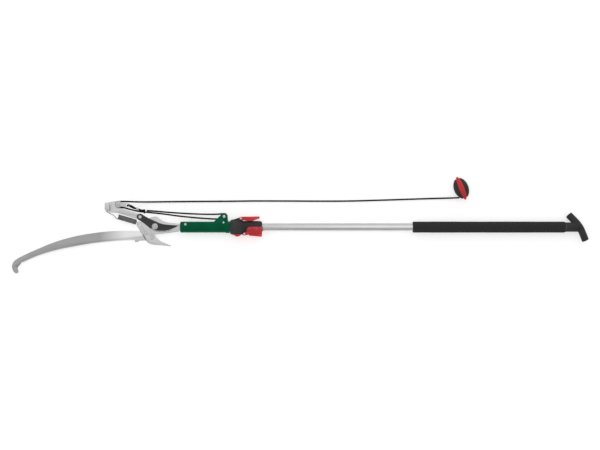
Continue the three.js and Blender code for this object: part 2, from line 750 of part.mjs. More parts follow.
function sawOutline() {
  const back = splinePoints(
    [
      [-3, -13.5],
      [-52, -11.2],
      [-121, -11.4],
      [-178, -17],
      [-235, -26.5],
      [-293, -42],
      [-350, -64.5],
      [-408, -91.5],
      [-426, -105],
    ],
    30,
  );
  const tip = splinePoints(
    [
      [-430, -116],
      [-427, -130],
      [-418, -139],
      [-409.5, -134.5],
      [-412.5, -122],
      [-404, -112],
    ],
    16,
  );
  const cuttingEdge = new THREE.SplineCurve(
    points([
      [-398, -108.5],
      [-350, -87.7],
      [-293, -70.5],
      [-235, -59],
      [-178, -49.4],
      [-121, -43.7],
      [-66, -40.8],
    ]),
  );
  const count = Math.round(cuttingEdge.getLength() / TOOTH_PITCH);
  const teeth = [];
  for (let i = 0; i < count; i += 1) {
    const start = cuttingEdge.getPointAt(i / count);
    const crest = cuttingEdge.getPointAt((i + TOOTH_LEAN) / count);
    const along = cuttingEdge.getTangentAt((i + TOOTH_LEAN) / count);
    teeth.push([start.x - along.y * TOOTH_DEPTH, start.y + along.x * TOOTH_DEPTH]);
    teeth.push([crest.x, crest.y]);
  }
  return polygon([
    ...back,
    ...tip,
    ...teeth,
    [-63, -37.5],
    [-60, -45.6],
    [-52, -45],
    [-46, -41],
    [-3, -40],
  ]);
}

function makeHead() {
  const half = PLATE / 2;
  const sawTop = -half - GAP;
  const sawBottom = sawTop - SAW;
  const bladeBottom = half + GAP;
  const bladeTop = bladeBottom + BLADE;
  const boltHoles = SAW_BOLTS.map((place) => pin(place, -THROUGH, THROUGH, SAW_BOLT_R + GAP));
  const tangHole = pin(TANG_RIVET, -THROUGH, THROUGH, RIVET_R + GAP);
  const pivotHole = pin(PIVOT, -THROUGH, THROUGH, PIVOT_R + GAP);
  const eye = pin(SPRING_EYE, -THROUGH, THROUGH, SPRING_WIRE_R + 2.1);
  add(
    "hook_frame",
    cut(plate(frameOutline(), -half, half), ...boltHoles, tangHole, pivotHole, eye),
    STEEL,
  );
  const saw = plate(sawOutline(), sawBottom, sawTop);
  add("saw_blade", cut(saw, ...boltHoles), SAW_STEEL);

  const rivetHole = pin(LEVER_RIVET, -THROUGH, THROUGH, LEVER_RIVET_R + GAP);
  const cutter = plate(bladeOutline(), bladeBottom, bladeTop);
  add("cutting_blade", cut(cutter, pivotHole, rivetHole), COATED);
  const post = pin(SPRING_POST, -THROUGH, THROUGH, SPRING_WIRE_R + 1.2);
  const axleHole = pin(LEVER_PULLEY, -THROUGH, THROUGH, PULLEY_AXLE_R + GAP);
  const lever = plate(leverOutline(), -half, half);
  const fold = cut(
    block(...LEVER_FOLD_X, ...LEVER_FOLD_Y, -half, LEVER_FOLD_TOP),
    block(LEVER_FOLD_X[0] + LEVER_FOLD, THROUGH, ...LEVER_FOLD_Y, half, LEVER_FOLD_TOP - LEVER_FOLD),
  );
  add("pull_lever", cut(join(lever, fold), rivetHole, axleHole, post), STEEL);
  const [low, high] = [-half - GAP, bladeTop + GAP];
  add(
    "lever_rivet",
    twoHeaded(LEVER_RIVET, low, high, LEVER_RIVET_R, LEVER_RIVET_HEAD_R, AXLE_HEAD_H),
    STEEL,
  );
  makePivot(half, bladeTop);
  makeSawBolts(half, sawBottom);
}

function hexagon(place, acrossFlats, z0, z1) {
  const radius = acrossFlats / Math.sqrt(3);
  return pin(place, z0, z1, radius, 6);
}

function makePivot(half, bladeTop) {
  const washerTop = bladeTop + GAP + PIVOT_WASHER;
  const nutTop = washerTop + GAP + PIVOT_NUT;
  const washer = pin(PIVOT, bladeTop + GAP, washerTop, 9, 24);
  const hole = pin(PIVOT, -THROUGH, THROUGH, PIVOT_R + GAP);
  add("pivot_washer", cut(washer, hole), STEEL);
  add("pivot_nut", cut(hexagon(PIVOT, 13, washerTop + GAP, nutTop), hole), STEEL);
  const under = -half - GAP;
  add(
    "pivot_bolt",
    join(
      pin(PIVOT, under - 1, nutTop + 1.4, PIVOT_R),
      hexagon(PIVOT, 13, under - PIVOT_NUT, under),
    ),
    STEEL,
  );
}

function makeSawBolts(half, sawBottom) {
  const wingTop = sawBottom - GAP - 1.2 - GAP;
  SAW_BOLTS.forEach((place, i) => {
    const top = half + GAP;
    add(
      `saw_bolt_${i + 1}`,
      join(
        pin(place, wingTop - WING_HUB - 1.5, top + 0.5, SAW_BOLT_R),
        pin(place, top, top + 2.4, 5.4),
      ),
      STEEL,
    );
    const hole = pin(place, -THROUGH, THROUGH, SAW_BOLT_R + GAP);
    const washer = pin(place, wingTop + GAP, sawBottom - GAP, 6.5);
    add(`saw_washer_${i + 1}`, cut(washer, hole), STEEL);
    const body = pin(place, wingTop - WING_HUB, wingTop, 5.2);
    const wings = wingPair(wingTop);
    const turn = new THREE.Matrix4().makeRotationZ(Math.PI * (0.2 + 0.45 * i));
    turn.setPosition(place.x, place.y, 0);
    const turned = wings.transform(turn.elements);
    add(`wing_nut_${i + 1}`, cut(join(body, turned), hole), STEEL);
  });
}

// Two ears that flare down and out from a wing nut's hub to the resting height.
function wingPair(top) {
  const low = -FLOOR_DROP;
  const ear = (side) =>
    polygon([
      [side * 3.5, top - 1.5],
      [side * 8, top - WING_HUB * 0.55],
      [side * 13, low + 4],
      [side * 12.5, low],
      [side * 7.5, low],
      [side * 3.5, top - WING_HUB],
    ]);
  const pair = [1, -1].map((side) => {
    const geometry = new THREE.ExtrudeGeometry(ear(side), { depth: 3, bevelEnabled: false });
    geometry.translate(0, 0, -1.5);
    geometry.rotateX(Math.PI / 2);
    return solid(geometry);
  });
  return join(...pair);
}

// Close-wound return spring with a hook at each end, from the lever to the frame's eye.
function makeSpring() {
  const from = SPRING_START;
  const to = SPRING_END;
  const along = to.clone().sub(from).normalize();
  const coil = cut(rod(from, to, SPRING_R, 20), rod(
    from.clone().addScaledVector(along, -2),
    to.clone().addScaledVector(along, -SPRING_WIRE_R * 2),
    SPRING_R - 2 * SPRING_WIRE_R,
    20,
  ));
  const side = new THREE.Vector3(-along.y, along.x, 0).multiplyScalar(SPRING_R - SPRING_WIRE_R);
  const start = from.clone().addScaledVector(along, 1).add(side.clone().multiplyScalar(-1));
  const post = SPRING_POST;
  const leftHook = new THREE.CatmullRomCurve3([
    start,
    from.clone().addScaledVector(along, -3).add(side.clone().multiplyScalar(-0.9)),
    new THREE.Vector3(-126, 36.4, -PLATE / 2 - SPRING_WIRE_R - 0.5),
    new THREE.Vector3(post.x + 0.5, post.y - 3.6, -PLATE / 2 - SPRING_WIRE_R - 1),
    new THREE.Vector3(post.x, post.y, -1.5),
    new THREE.Vector3(post.x, post.y, 3),
  ]);
  const eye = SPRING_EYE;
  const rightHook = new THREE.CatmullRomCurve3([
    to.clone().addScaledVector(along, -1).setZ(-4),
    to.clone().addScaledVector(along, 2.5).setZ(-4.2),
    new THREE.Vector3(eye.x - 3, eye.y + 1, -PLATE / 2 - SPRING_WIRE_R - 1),
    new THREE.Vector3(eye.x, eye.y, -1.5),
    new THREE.Vector3(eye.x, eye.y, 3),
  ]);
  const hooks = [leftHook, rightHook].map((path) => sweep(path, SPRING_WIRE_R, 4, 14));
  add("return_spring", join(coil, ...hooks), SPRING_STEEL);
}

// ---------------------------------------------------------------- rope
// The rope's points are chosen by hand, in the tool's own frame.
const TACKLE_RUN_OUT = [
  [-99, 59.3, 6.2],
  [-75, 53.4, 5.9],
  [-51, 47.6, 5.6],
  [-12, 43.4, 5],
  [27, 39.2, 4.2],
  [63, 34.2, 3.2],
  [99, 30.2, 2.2],
  [135, 27, 1.2],
  [172, 24.6, 0.3],
];
const TACKLE_RUN_BACK = [
  [190, 38.8, 0.6],
  [150, 38.4, 2],
  [99, 40.4, 4.6],
  [63, 42.6, 7],
  [27, 45.4, 9.4],
  [0, 47.8, 11.2],
  [-24, 49.4, 12.4],
];
const ROPE_LOW = ROPE_R + GAP - FLOOR_DROP;
const PULL_ROUTE = [
  [-88, 76.6, 4.6],
  [-60, 75.8, -4],
  [-30, 75.6, -15],
  [5, 76, ROPE_LOW + 0.4],
  [60, 76.6, ROPE_LOW],
  [130, 77.2, ROPE_LOW],
  [210, 77.6, ROPE_LOW],
  [300, 78.6, ROPE_LOW],
  [400, 78.4, ROPE_LOW],
  [500, 78, ROPE_LOW],
  [580, 78.4, ROPE_LOW],
  [660, 80.4, ROPE_LOW],
  [740, 83, ROPE_LOW],
  [820, 85.6, ROPE_LOW],
  [860, 86.6, -17.5],
  [895, 87.6, -12.5],
  [914, 88.4, -9.5],
];

const vectors = (list) => list.map(([x, y, z]) => new THREE.Vector3(x, y, z));

function wrap(centre, z, start, end, steps) {
  return arcPoints(centre, PULLEY_ROPE_R, start, end, steps).map(([x, y]) => [x, y, z]);
}

function makeRope() {
  const overLever = wrap(LEVER_PULLEY, LEVER_PULLEY_Z, 86, 262, 8);
  const overBracket = wrap(FIN_PULLEY, 0, -96, 94, 8);
  const tackle = new THREE.CatmullRomCurve3(
    vectors([...overLever, ...TACKLE_RUN_OUT, ...overBracket, ...TACKLE_RUN_BACK]),
    false,
    "centripetal",
  );
  add("tackle_rope", sweep(tackle, ROPE_R, 4, 80), ROPE);
  const [topX, topY] = wrap(LEVER_PULLEY, LEVER_PULLEY_Z, 86, 86, 1)[0];
  const pull = new THREE.CatmullRomCurve3(
    vectors([[topX + 0.6, topY, LEVER_PULLEY_Z], ...PULL_ROUTE]),
    false,
    "centripetal",
  );
  add("pull_rope", sweep(pull, ROPE_R, 4, 80), ROPE);
  makeKnot();
}

// The dead end: an eye through the becket, a steel crimp that closes it, and a stopper knot.
const EYE_OVER = becketTop + EYE_ROPE_R + 0.675; // the eye's rope passes over the strap here
const EYE_UNDER = becketBottom - EYE_ROPE_R - 0.675;
const CRIMP_UPPER = [
  [-46, 52.6, CRIMP_LOW + 2.9],
  [-57, 56.6, CRIMP_LOW + 3.2],
];
const CRIMP_LOWER = [
  [-44, 51, CRIMP_LOW + 0.8],
  [-55, 54.6, CRIMP_LOW],
];
const EYE_ROUTE = [
  KNOT.toArray(),
  ...CRIMP_UPPER,
  [-68, 62.8, EYE_OVER - 0.4],
  [-78, 66.4, EYE_OVER],
  [BECKET_EYE.x + 0.6, BECKET_EYE.y - 0.5, becketTop + 1],
  [BECKET_EYE.x + 0.6, BECKET_EYE.y - 0.7, EYE_UNDER],
  [-74, 61.4, EYE_UNDER + 0.4],
  [-64, 57, CRIMP_LOW - 0.8],
  ...CRIMP_LOWER.toReversed(),
  KNOT.toArray(),
];

function makeKnot() {
  const loop = new THREE.CatmullRomCurve3(vectors(EYE_ROUTE), false, "centripetal");
  const tail = rod(KNOT, new THREE.Vector3(KNOT.x + 3.5, KNOT.y - 8, KNOT.z + 0.5), ROPE_R, 8);
  const ball = new THREE.SphereGeometry(KNOT_R, 12, 8);
  ball.scale(1.35, 1.15, 1);
  ball.translate(KNOT.x, KNOT.y, KNOT.z);
  add("rope_knot", join(solid(ball), tail, sweep(loop, EYE_ROPE_R, 3, 36)), ROPE);

  const strands = [CRIMP_UPPER, CRIMP_LOWER].map(vectors);
  const outside = strands.map((strand) => sleeve(strand, FERRULE_R, FERRULE_LENGTH));
  const inside = strands.map((strand) => sleeve(strand, ROPE_R + GAP, 3 * FERRULE_LENGTH));
  add("rope_ferrule", cut(join(...outside), ...inside), STEEL);
}

// A round piece about the middle of a straight strand.
function sleeve([near, far], radius, length) {
  const centre = near.clone().lerp(far, 0.5);
  const half = far.clone().sub(near).setLength(length / 2);
  return rod(centre.clone().sub(half), centre.clone().add(half), radius, 16);
}

// ---------------------------------------------------------------- pull handle
// A disc stretched to an oval and thinned towards its two ends: end is the share of the
// thickness that is left there. Profile points are [share of the radius, distance out].
function lens(length, height, profile, end) {
  const geometry = new THREE.LatheGeometry(points(profile), 24);
  const place = geometry.getAttribute("position");
  for (let i = 0; i < place.count; i += 1) {
    const thin = end + (1 - end) * Math.cos((place.getX(i) * Math.PI) / 2);
    place.setY(i, place.getY(i) * thin);
  }
  geometry.scale(length / 2, 1, height / 2);
  geometry.rotateZ(WINDER_TURN);
  geometry.translate(WINDER.x, WINDER.y, WINDER.z);
  return solid(geometry);
}

function makeWinder() {
  const core = WINDER_CORE / 2;
  const full = WINDER_WIDTH / 2;
  const disc = (out, grow) => [
    [0, -out],
    [0.8, -out],
    [0.93 + grow, -0.84 * out],
    [1, -0.5 * out],
    [1, 0.5 * out],
    [0.93 + grow, 0.84 * out],
    [0.8, out],
    [0, out],
  ];
  const plateBody = lens(WINDER_LENGTH, WINDER_HEIGHT, disc(core, 0), WINDER_THIN);
  const ropeEnd = vectors([PULL_ROUTE.at(-1)])[0];
  const inward = WINDER.clone().sub(ropeEnd).normalize();
  const hole = rod(
    ropeEnd.clone().addScaledVector(inward, -12),
    ropeEnd.clone().addScaledVector(inward, 9),
    ROPE_R + GAP,
    SMALL_ROUND,
  );
  add("pull_handle_core", cut(plateBody, hole), RED);
  const room = lens(
    WINDER_LENGTH + 2 * GAP,
    WINDER_HEIGHT + 2 * GAP,
    disc(core + GAP, 0.01),
    WINDER_THIN + 0.03,
  );
  const seat = core / 2; // the grips reach in beside the core's shoulders
  const steps = 7;
  for (const [name, side] of [
    ["pull_handle_grip_left", -1],
    ["pull_handle_grip_right", 1],
  ]) {
    const dome = [
      [0, side * seat],
      [1, side * seat],
    ];
    for (let i = 1; i <= steps; i += 1) {
      const t = (i / steps) * (Math.PI / 2);
      const out = seat + (full - seat) * Math.sin(t);
      dome.push([i === steps ? 0 : Math.cos(t) ** 0.7, side * out]);
    }
    const profile = side > 0 ? dome : dome.toReversed();
    add(name, cut(lens(GRIP_LENGTH, GRIP_HEIGHT, profile, GRIP_THIN), room, hole), BLACK);
  }
}

makePole();
makeClamp();
makeSocket();
makePulleys();
makeHead();
makeSpring();
makeRope();
makeWinder();

// The part's origin is the middle of the tool's footprint, on the surface it lies on.
const FREE_CORD = "pull_rope";
const box = new THREE.Box3();
for (const piece of tool.children) {
  if (piece.name !== FREE_CORD) box.expandByObject(piece, true);
}
const middle = box.getCenter(new THREE.Vector3());
tool.position.set(-middle.x, -middle.y, FLOOR_DROP);

const part = new THREE.Group();
part.add(tool);
export default part;
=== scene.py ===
import json
import math

import bmesh
import bpy
import numpy as np
from mathutils import Matrix, Vector


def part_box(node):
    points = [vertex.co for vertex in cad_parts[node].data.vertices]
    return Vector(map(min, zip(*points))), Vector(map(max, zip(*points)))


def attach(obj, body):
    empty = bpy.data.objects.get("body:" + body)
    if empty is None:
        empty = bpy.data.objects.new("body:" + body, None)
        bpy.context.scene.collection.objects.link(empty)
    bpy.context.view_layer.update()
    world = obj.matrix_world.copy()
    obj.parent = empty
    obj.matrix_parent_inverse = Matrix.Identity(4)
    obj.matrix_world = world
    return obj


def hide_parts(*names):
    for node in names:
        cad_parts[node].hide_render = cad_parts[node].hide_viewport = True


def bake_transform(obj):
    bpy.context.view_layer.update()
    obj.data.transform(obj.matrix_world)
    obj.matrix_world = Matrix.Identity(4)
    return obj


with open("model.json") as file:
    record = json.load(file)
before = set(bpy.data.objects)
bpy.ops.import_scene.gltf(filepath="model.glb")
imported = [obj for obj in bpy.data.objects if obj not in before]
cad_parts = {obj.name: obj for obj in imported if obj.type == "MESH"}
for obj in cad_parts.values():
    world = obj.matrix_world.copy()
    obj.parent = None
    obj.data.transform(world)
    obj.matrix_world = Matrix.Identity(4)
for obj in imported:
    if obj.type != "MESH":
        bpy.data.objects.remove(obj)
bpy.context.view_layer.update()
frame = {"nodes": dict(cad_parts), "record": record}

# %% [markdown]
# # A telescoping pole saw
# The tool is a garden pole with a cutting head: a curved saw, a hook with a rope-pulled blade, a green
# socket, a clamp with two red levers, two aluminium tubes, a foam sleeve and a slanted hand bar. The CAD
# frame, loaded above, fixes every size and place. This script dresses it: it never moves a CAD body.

BODY_OF = {n: body for body, nodes in frame["record"]["behaviour"]["bodies"].items() for n in nodes}

# %% [markdown]
# ## One place to measure from
# A maker measures a pruner from its pivot, where blade and hook cross. The outer tube starts 264 mm behind
# that pivot and its middle line runs through it, so the tube's box gives the place of everything else.

# %% Measure from the jaw's pivot
TUBE_FRONT = 264
tube_low, tube_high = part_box("outer_tube")
PIVOT_LINE = Vector((
    tube_low.x - TUBE_FRONT / 1000,
    (tube_low.y + tube_high.y) / 2,
    (tube_low.z + tube_high.z) / 2,
))


def at(x, y, z=0.0):
    """A place given in millimetres from the pivot, on the pole's middle line."""
    return PIVOT_LINE + Vector((x, y, z)) / 1000


def measured(place):
    """The same measure read back: millimetres from the pivot."""
    return (Vector(place) - PIVOT_LINE) * 1000
def in_scene(name, data):
    """A new object for a mesh, a lamp or a camera."""
    piece = bpy.data.objects.new(name, data)
    bpy.context.scene.collection.objects.link(piece)
    return piece


print("pivot line at", [round(x, 4) for x in PIVOT_LINE])

# %% [markdown]
# ## Camera
# The tool lies flat and is seen from straight above, from far away, so that nothing along its length is
# seen at a slant. A long lens at 6 m does that.

# %% Camera straight above
VIEW_MIDDLE, CAMERA_HEIGHT = (435, 6.3), 6.0
camera_data = bpy.data.cameras.new("camera")
camera_data.lens = 120
camera_data.sensor_width = 36
camera_data.clip_end = 100
camera = in_scene("camera", camera_data)
camera.location = at(*VIEW_MIDDLE) + Vector((0, 0, CAMERA_HEIGHT))
bpy.context.scene.camera = camera
print("camera", CAMERA_HEIGHT, "m up, lens", camera_data.lens, "mm")

# %% [markdown]
# ## The ropes' routes
# One 5 mm braided rope works the pruner. Its dead end is tied at the lever. From the knot it runs to the
# pulley in the green fin, back to the pulley on the lever, round it, and away along the pole to the pull
# handle. The last stretch is the free cord. Each route is a list of places joined by one smooth curve, and
# it is settled before anything else is made, because the rope's length decides how much room it needs.

# %% Smooth lines through chosen places
ROPE_RADIUS = 0.0025
ROPE_LOW = -19.2  # height of the rope's middle where it lies on the ground
LEVER_WHEEL = (-109, 68.5, 6.2)
FIN_WHEEL = (207.6, 32, 0)
ROPE_ON_WHEEL = 8.2
CURVE_STEPS = 40  # fine steps between two places of a curve


def wrap(wheel, start, end, steps=8):
    """Places round a pulley, in degrees, at the rope's own radius."""
    angles = [math.radians(start + (end - start) * i / steps) for i in range(steps + 1)]
    x, y, z = wheel
    return [(x + ROPE_ON_WHEEL * math.cos(a), y + ROPE_ON_WHEEL * math.sin(a), z) for a in angles]


def run_along(line):
    """The distance from a line's start to each of its places."""
    return np.concatenate([[0], np.cumsum(np.linalg.norm(np.diff(line, axis=0), axis=1))])


def smooth_line(places, step):
    """Even steps along a centripetal curve through the places."""
    p = [np.array(at(*place)) for place in places]
    p = [2 * p[0] - p[1], *p, 2 * p[-1] - p[-2]]
    fine = []
    for a, b, c, d in zip(p, p[1:], p[2:], p[3:]):
        t1 = max(np.linalg.norm(b - a), 1e-9) ** 0.5
        t2 = t1 + max(np.linalg.norm(c - b), 1e-9) ** 0.5
        t3 = t2 + max(np.linalg.norm(d - c), 1e-9) ** 0.5
        for t in np.linspace(t1, t2, CURVE_STEPS, endpoint=False):
            ab = a + (b - a) * t / t1
            bc = b + (c - b) * (t - t1) / (t2 - t1)
            cd = c + (d - c) * (t - t2) / (t3 - t2)
            abc, bcd = ab + (bc - ab) * t / t2, bc + (cd - bc) * (t - t1) / (t3 - t1)
            fine.append(abc + (bcd - abc) * (t - t1) / (t2 - t1))
    fine = np.array([*fine, p[-2]])
    run = run_along(fine)
    even = np.linspace(0, run[-1], max(2, round(run[-1] / step)) + 1)
    return np.stack([np.interp(even, run, fine[:, k]) for k in range(3)], 1), run[-1]


TACKLE_ROUTE = [
    *wrap(LEVER_WHEEL, 86, 262),
    (-99, 59.3, 6.2), (-75, 53.4, 5.9), (-51, 47.6, 5.6), (-12, 43.4, 5), (27, 39.2, 4.2),
    (63, 34.2, 3.2), (99, 30.2, 2.2), (135, 27, 1.2), (172, 24.6, 0.3),
    *wrap(FIN_WHEEL, -96, 94),
    (190, 38.8, 0.6), (150, 38.4, 2), (99, 40.4, 4.6), (63, 42.6, 7), (27, 45.4, 9.4), (0, 47.8, 11.2),
    (-24, 49.4, 12.4),
]
wheel_top = wrap(LEVER_WHEEL, 86, 86, 1)[0]
PULL_ROUTE = [
    (wheel_top[0] + 0.6, wheel_top[1], wheel_top[2]),
    (-88, 76.6, 4.6), (-60, 75.8, -4), (-30, 75.6, -15), (5, 76, ROPE_LOW + 0.4), (60, 76.6, ROPE_LOW),
    (130, 77.2, ROPE_LOW), (210, 77.6, ROPE_LOW), (300, 78.6, ROPE_LOW), (400, 78.4, ROPE_LOW),
    (500, 78, ROPE_LOW), (580, 78.4, ROPE_LOW), (660, 80.4, ROPE_LOW), (740, 83, ROPE_LOW),
    (820, 85.6, ROPE_LOW), (860, 86.6, -17.5), (895, 87.6, -12.5), (914, 88.4, -9.5),
]
print("places on the routes:", len(TACKLE_ROUTE), "tackle,", len(PULL_ROUTE), "pull")

# %% [markdown]
# ## A braided rope's surface
# Four yarns cross four others along a braid, so the rope's outline is a row of small bumps. A tube with a
# plain round section would look like wire. Here each ring of the tube swells and sinks where a yarn passes,
# and its UV map runs round and along the rope, so the colour can follow the same yarns.

# %% Rope tube
YARNS = 4  # each way round
YARN_PITCH = 0.0052
YARN_DEPTH = 0.09  # share of the radius
ROPE_SIDES = 16


def square_to(line):
    """Two axes square to a line at each of its places, carried along without twist."""
    direction = np.gradient(line, axis=0)
    direction /= np.linalg.norm(direction, axis=1)[:, None]
    side = np.cross(direction[0], (0.0, 0.0, 1.0))
    side /= np.linalg.norm(side)
    across = []
    for d in direction:
        side = side - d * side.dot(d)
        side /= np.linalg.norm(side)
        across.append(side)
    across = np.array(across)
    return across, np.cross(direction, across)


def skin(rings):
    """Faces from each ring of points to the next. A ring may be a single point."""
    faces = []
    for low, high in zip(rings, rings[1:]):
        sides = max(len(low), len(high))
        for j in range(sides):
            k = (j + 1) % sides
            face = low[j % len(low)], low[k % len(low)], high[k % len(high)], high[j % len(high)]
            faces.append(tuple(dict.fromkeys(face)))
    return faces


def tube(name, line, radius):
    """A closed braided tube round a line, with a UV map round and along it."""
    across, up = square_to(line)
    turns = np.arange(ROPE_SIDES + 1) / ROPE_SIDES
    lays = run_along(line) / YARN_PITCH
    angle = 2 * np.pi * turns[:-1]
    u, v = turns[None, :-1] * YARNS, lays[:, None]
    yarns = np.maximum(abs(np.sin(np.pi * (u + v))), abs(np.sin(np.pi * (u - v))))
    swell = 1 - YARN_DEPTH + YARN_DEPTH * yarns
    ring = across[:, None] * np.cos(angle)[None, :, None] + up[:, None] * np.sin(angle)[None, :, None]
    verts = (line[:, None] + ring * (radius * swell)[:, :, None]).reshape(-1, 3)
    rings = [range(i * ROPE_SIDES, (i + 1) * ROPE_SIDES) for i in range(len(line))]
    faces = [*skin(rings), tuple(reversed(rings[0])), tuple(rings[-1])]
    uvs = [
        corner
        for v0, v1 in zip(lays, lays[1:])
        for u0, u1 in zip(turns, turns[1:])
        for corner in ((u0, v0), (u1, v0), (u1, v1), (u0, v1))
    ]
    uvs += [(u0, 0) for u0 in reversed(turns[:-1])]
    uvs += [(u0, lays[-1]) for u0 in turns[:-1]]
    mesh = bpy.data.meshes.new(name)
    mesh.from_pydata(verts.tolist(), [], faces)
    layer = mesh.uv_layers.new(name="along_rope")
    layer.data.foreach_set("uv", np.array(uvs, np.float32).ravel())
    mesh.shade_smooth()
    return facing_out(in_scene(name, mesh))


def facing_out(piece):
    """Turns every face of a closed mesh outwards."""
    bm = bmesh.new()
    bm.from_mesh(piece.data)
    bmesh.ops.recalc_face_normals(bm, faces=bm.faces)
    if bm.calc_volume(signed=True) < 0:
        bmesh.ops.reverse_faces(bm, faces=bm.faces)
    bm.to_mesh(piece.data)
    bm.free()
    return piece


# %% [markdown]
# ## The two lengths of rope
# The free rope and the rope between the pulleys are one rope, but they bend in different places when the
# blade closes, so each is a tube of its own. The free rope's length is what a maker would cut.

# %% The free pull rope and the tackle rope
ROPE_STEP = 0.0009
pull_line, pull_length = smooth_line(PULL_ROUTE, ROPE_STEP)
tackle_line, tackle_length = smooth_line(TACKLE_ROUTE, ROPE_STEP)
pull_rope = tube("braided_pull_rope", pull_line, ROPE_RADIUS)
tackle_rope = tube("braided_tackle_rope", tackle_line, ROPE_RADIUS)
print(f"pull rope {pull_length:.3f} m, tackle rope {tackle_length:.3f} m")

# %% [markdown]
# ## Rope that reaches a moving lever
# The lever's pulley swings with the jaw and the pole doesn't, so both ropes cross the jaw's joint. Here each
# rope's CAD node is hidden and the tube's place is baked into its points.

for rope, node, start, end in (
    (pull_rope, "pull_rope", at(-97, 76), at(-10, 76)),
    (tackle_rope, "tackle_rope", at(-92, 57), at(0, 42)),
):
    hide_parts(node)
    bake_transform(rope)
    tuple(start)
    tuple(end)
tuple(pull_line[0])

# %% [markdown]
# ## Floor
# A plain white table that the tool lies on. It glows a little, so it stays white and shadows stay faint.

# %% Floor
TABLE_HALF, TABLE_TOP = 12.0, -0.001
bpy.context.scene.view_settings.view_transform = "Standard"
table_mesh = bpy.data.meshes.new("white_table")
corners = [(-1, -1), (1, -1), (1, 1), (-1, 1)]
table_mesh.from_pydata([(x * TABLE_HALF, y * TABLE_HALF, TABLE_TOP) for x, y in corners], [], [(0, 1, 2, 3)])
table = in_scene("white_table", table_mesh)
table_finish = bpy.data.materials.new("white_table")
table_finish.use_nodes = True
table_shader = table_finish.node_tree.nodes["Principled BSDF"]
for socket, value in (
    ("Base Color", (0.9, 0.9, 0.9, 1)),
    ("Roughness", 0.9),
    ("Specular IOR Level", 0.0),
    ("Emission Color", (1, 1, 1, 1)),
    ("Emission Strength", 0.5),
):
    table_shader.inputs[socket].default_value = value
table_mesh.materials.append(table_finish)
print("table", 2 * TABLE_HALF, "m wide")

# %% [markdown]
# ## Wiring a node tree
# The light, the finishes and the grown pieces are all node trees. Three helpers add a node with its inputs
# filled in, so each tree reads as a list of what feeds what.

# %% Helpers for node trees
def feed(tree, socket, value):
    """Gives a socket a value, or joins it to the output that feeds it."""
    if isinstance(value, bpy.types.NodeSocket):
        tree.links.new(value, socket)
    else:
        socket.default_value = value


def wired(tree, kind, settings=None, **inputs):
    """A new node. Its inputs are named with _ for a space."""
    node = tree.nodes.new(kind)
    for name, value in (settings or {}).items():
        setattr(node, name, value)
    for name, value in inputs.items():
        feed(tree, node.inputs[name.replace("_", " ")], value)
    return node


def calc(tree, operation, *values):
    """The output of a sum on numbers and outputs."""
    node = wired(tree, "ShaderNodeMath", {"operation": operation})
    for socket, value in zip(node.inputs, values):
        feed(tree, socket, value)
    return node.outputs["Value"]


# %% [markdown]
# ## Light
# The tool lies in a light tent. The tent is brightest straight overhead and falls off towards its sides, so
# flat metal is bright, a tube has a bright middle line with grey flanks, and shadows are faint. Its far side
# is a little lighter than its near side, and one soft light from there lifts the upper flanks again.

# %% Light tent and side light
TENT = ((0.0, 0.55), (0.55, 0.52), (0.90, 0.56), (0.985, 0.98), (1.0, 1.10))  # height, level
FAR_SIDE = 0.10  # how much lighter the tent is on its far side than at its middle
world = bpy.data.worlds.new("studio")
bpy.context.scene.world = world
world.use_nodes = True
sky = world.node_tree
way = wired(sky, "ShaderNodeTexCoord").outputs["Generated"]
direction = wired(sky, "ShaderNodeSeparateXYZ", Vector=way).outputs
tent = wired(sky, "ShaderNodeValToRGB", Fac=direction["Z"])
for _ in TENT[2:]:
    tent.color_ramp.elements.new(0.5)
for stop, (place, level) in zip(tent.color_ramp.elements, TENT):
    stop.position = place
    stop.color = (level, level, level, 1)
far = calc(sky, "MULTIPLY", direction["Y"], FAR_SIDE)
feed(sky, sky.nodes["Background"].inputs["Color"], calc(sky, "ADD", tent.outputs["Color"], far))

LAMP_PLACE, LAMP_TARGET = Vector((0.1, 1.6, 2.6)), Vector((0.1, 0, 0))
lamp = bpy.data.lights.new("side_light", "AREA")
lamp.shape = "RECTANGLE"
lamp.size, lamp.size_y, lamp.energy = 3.0, 2.4, 8
side_light = in_scene("side_light", lamp)
side_light.location = LAMP_PLACE
side_light.rotation_euler = (LAMP_TARGET - LAMP_PLACE).to_track_quat("-Z", "Y").to_euler()
print("tent of", len(TENT), "levels and one side light")

# %% [markdown]
# ## Finishes
# A finish is a small tree of nodes. Every one starts the same way: a grain made from the piece's own
# coordinates, stretched along the way the part was drawn or brushed. The grain drives the colour a little,
# the roughness more, and a shallow bump. The stretch is what tells drawn tube from a brushed plate.

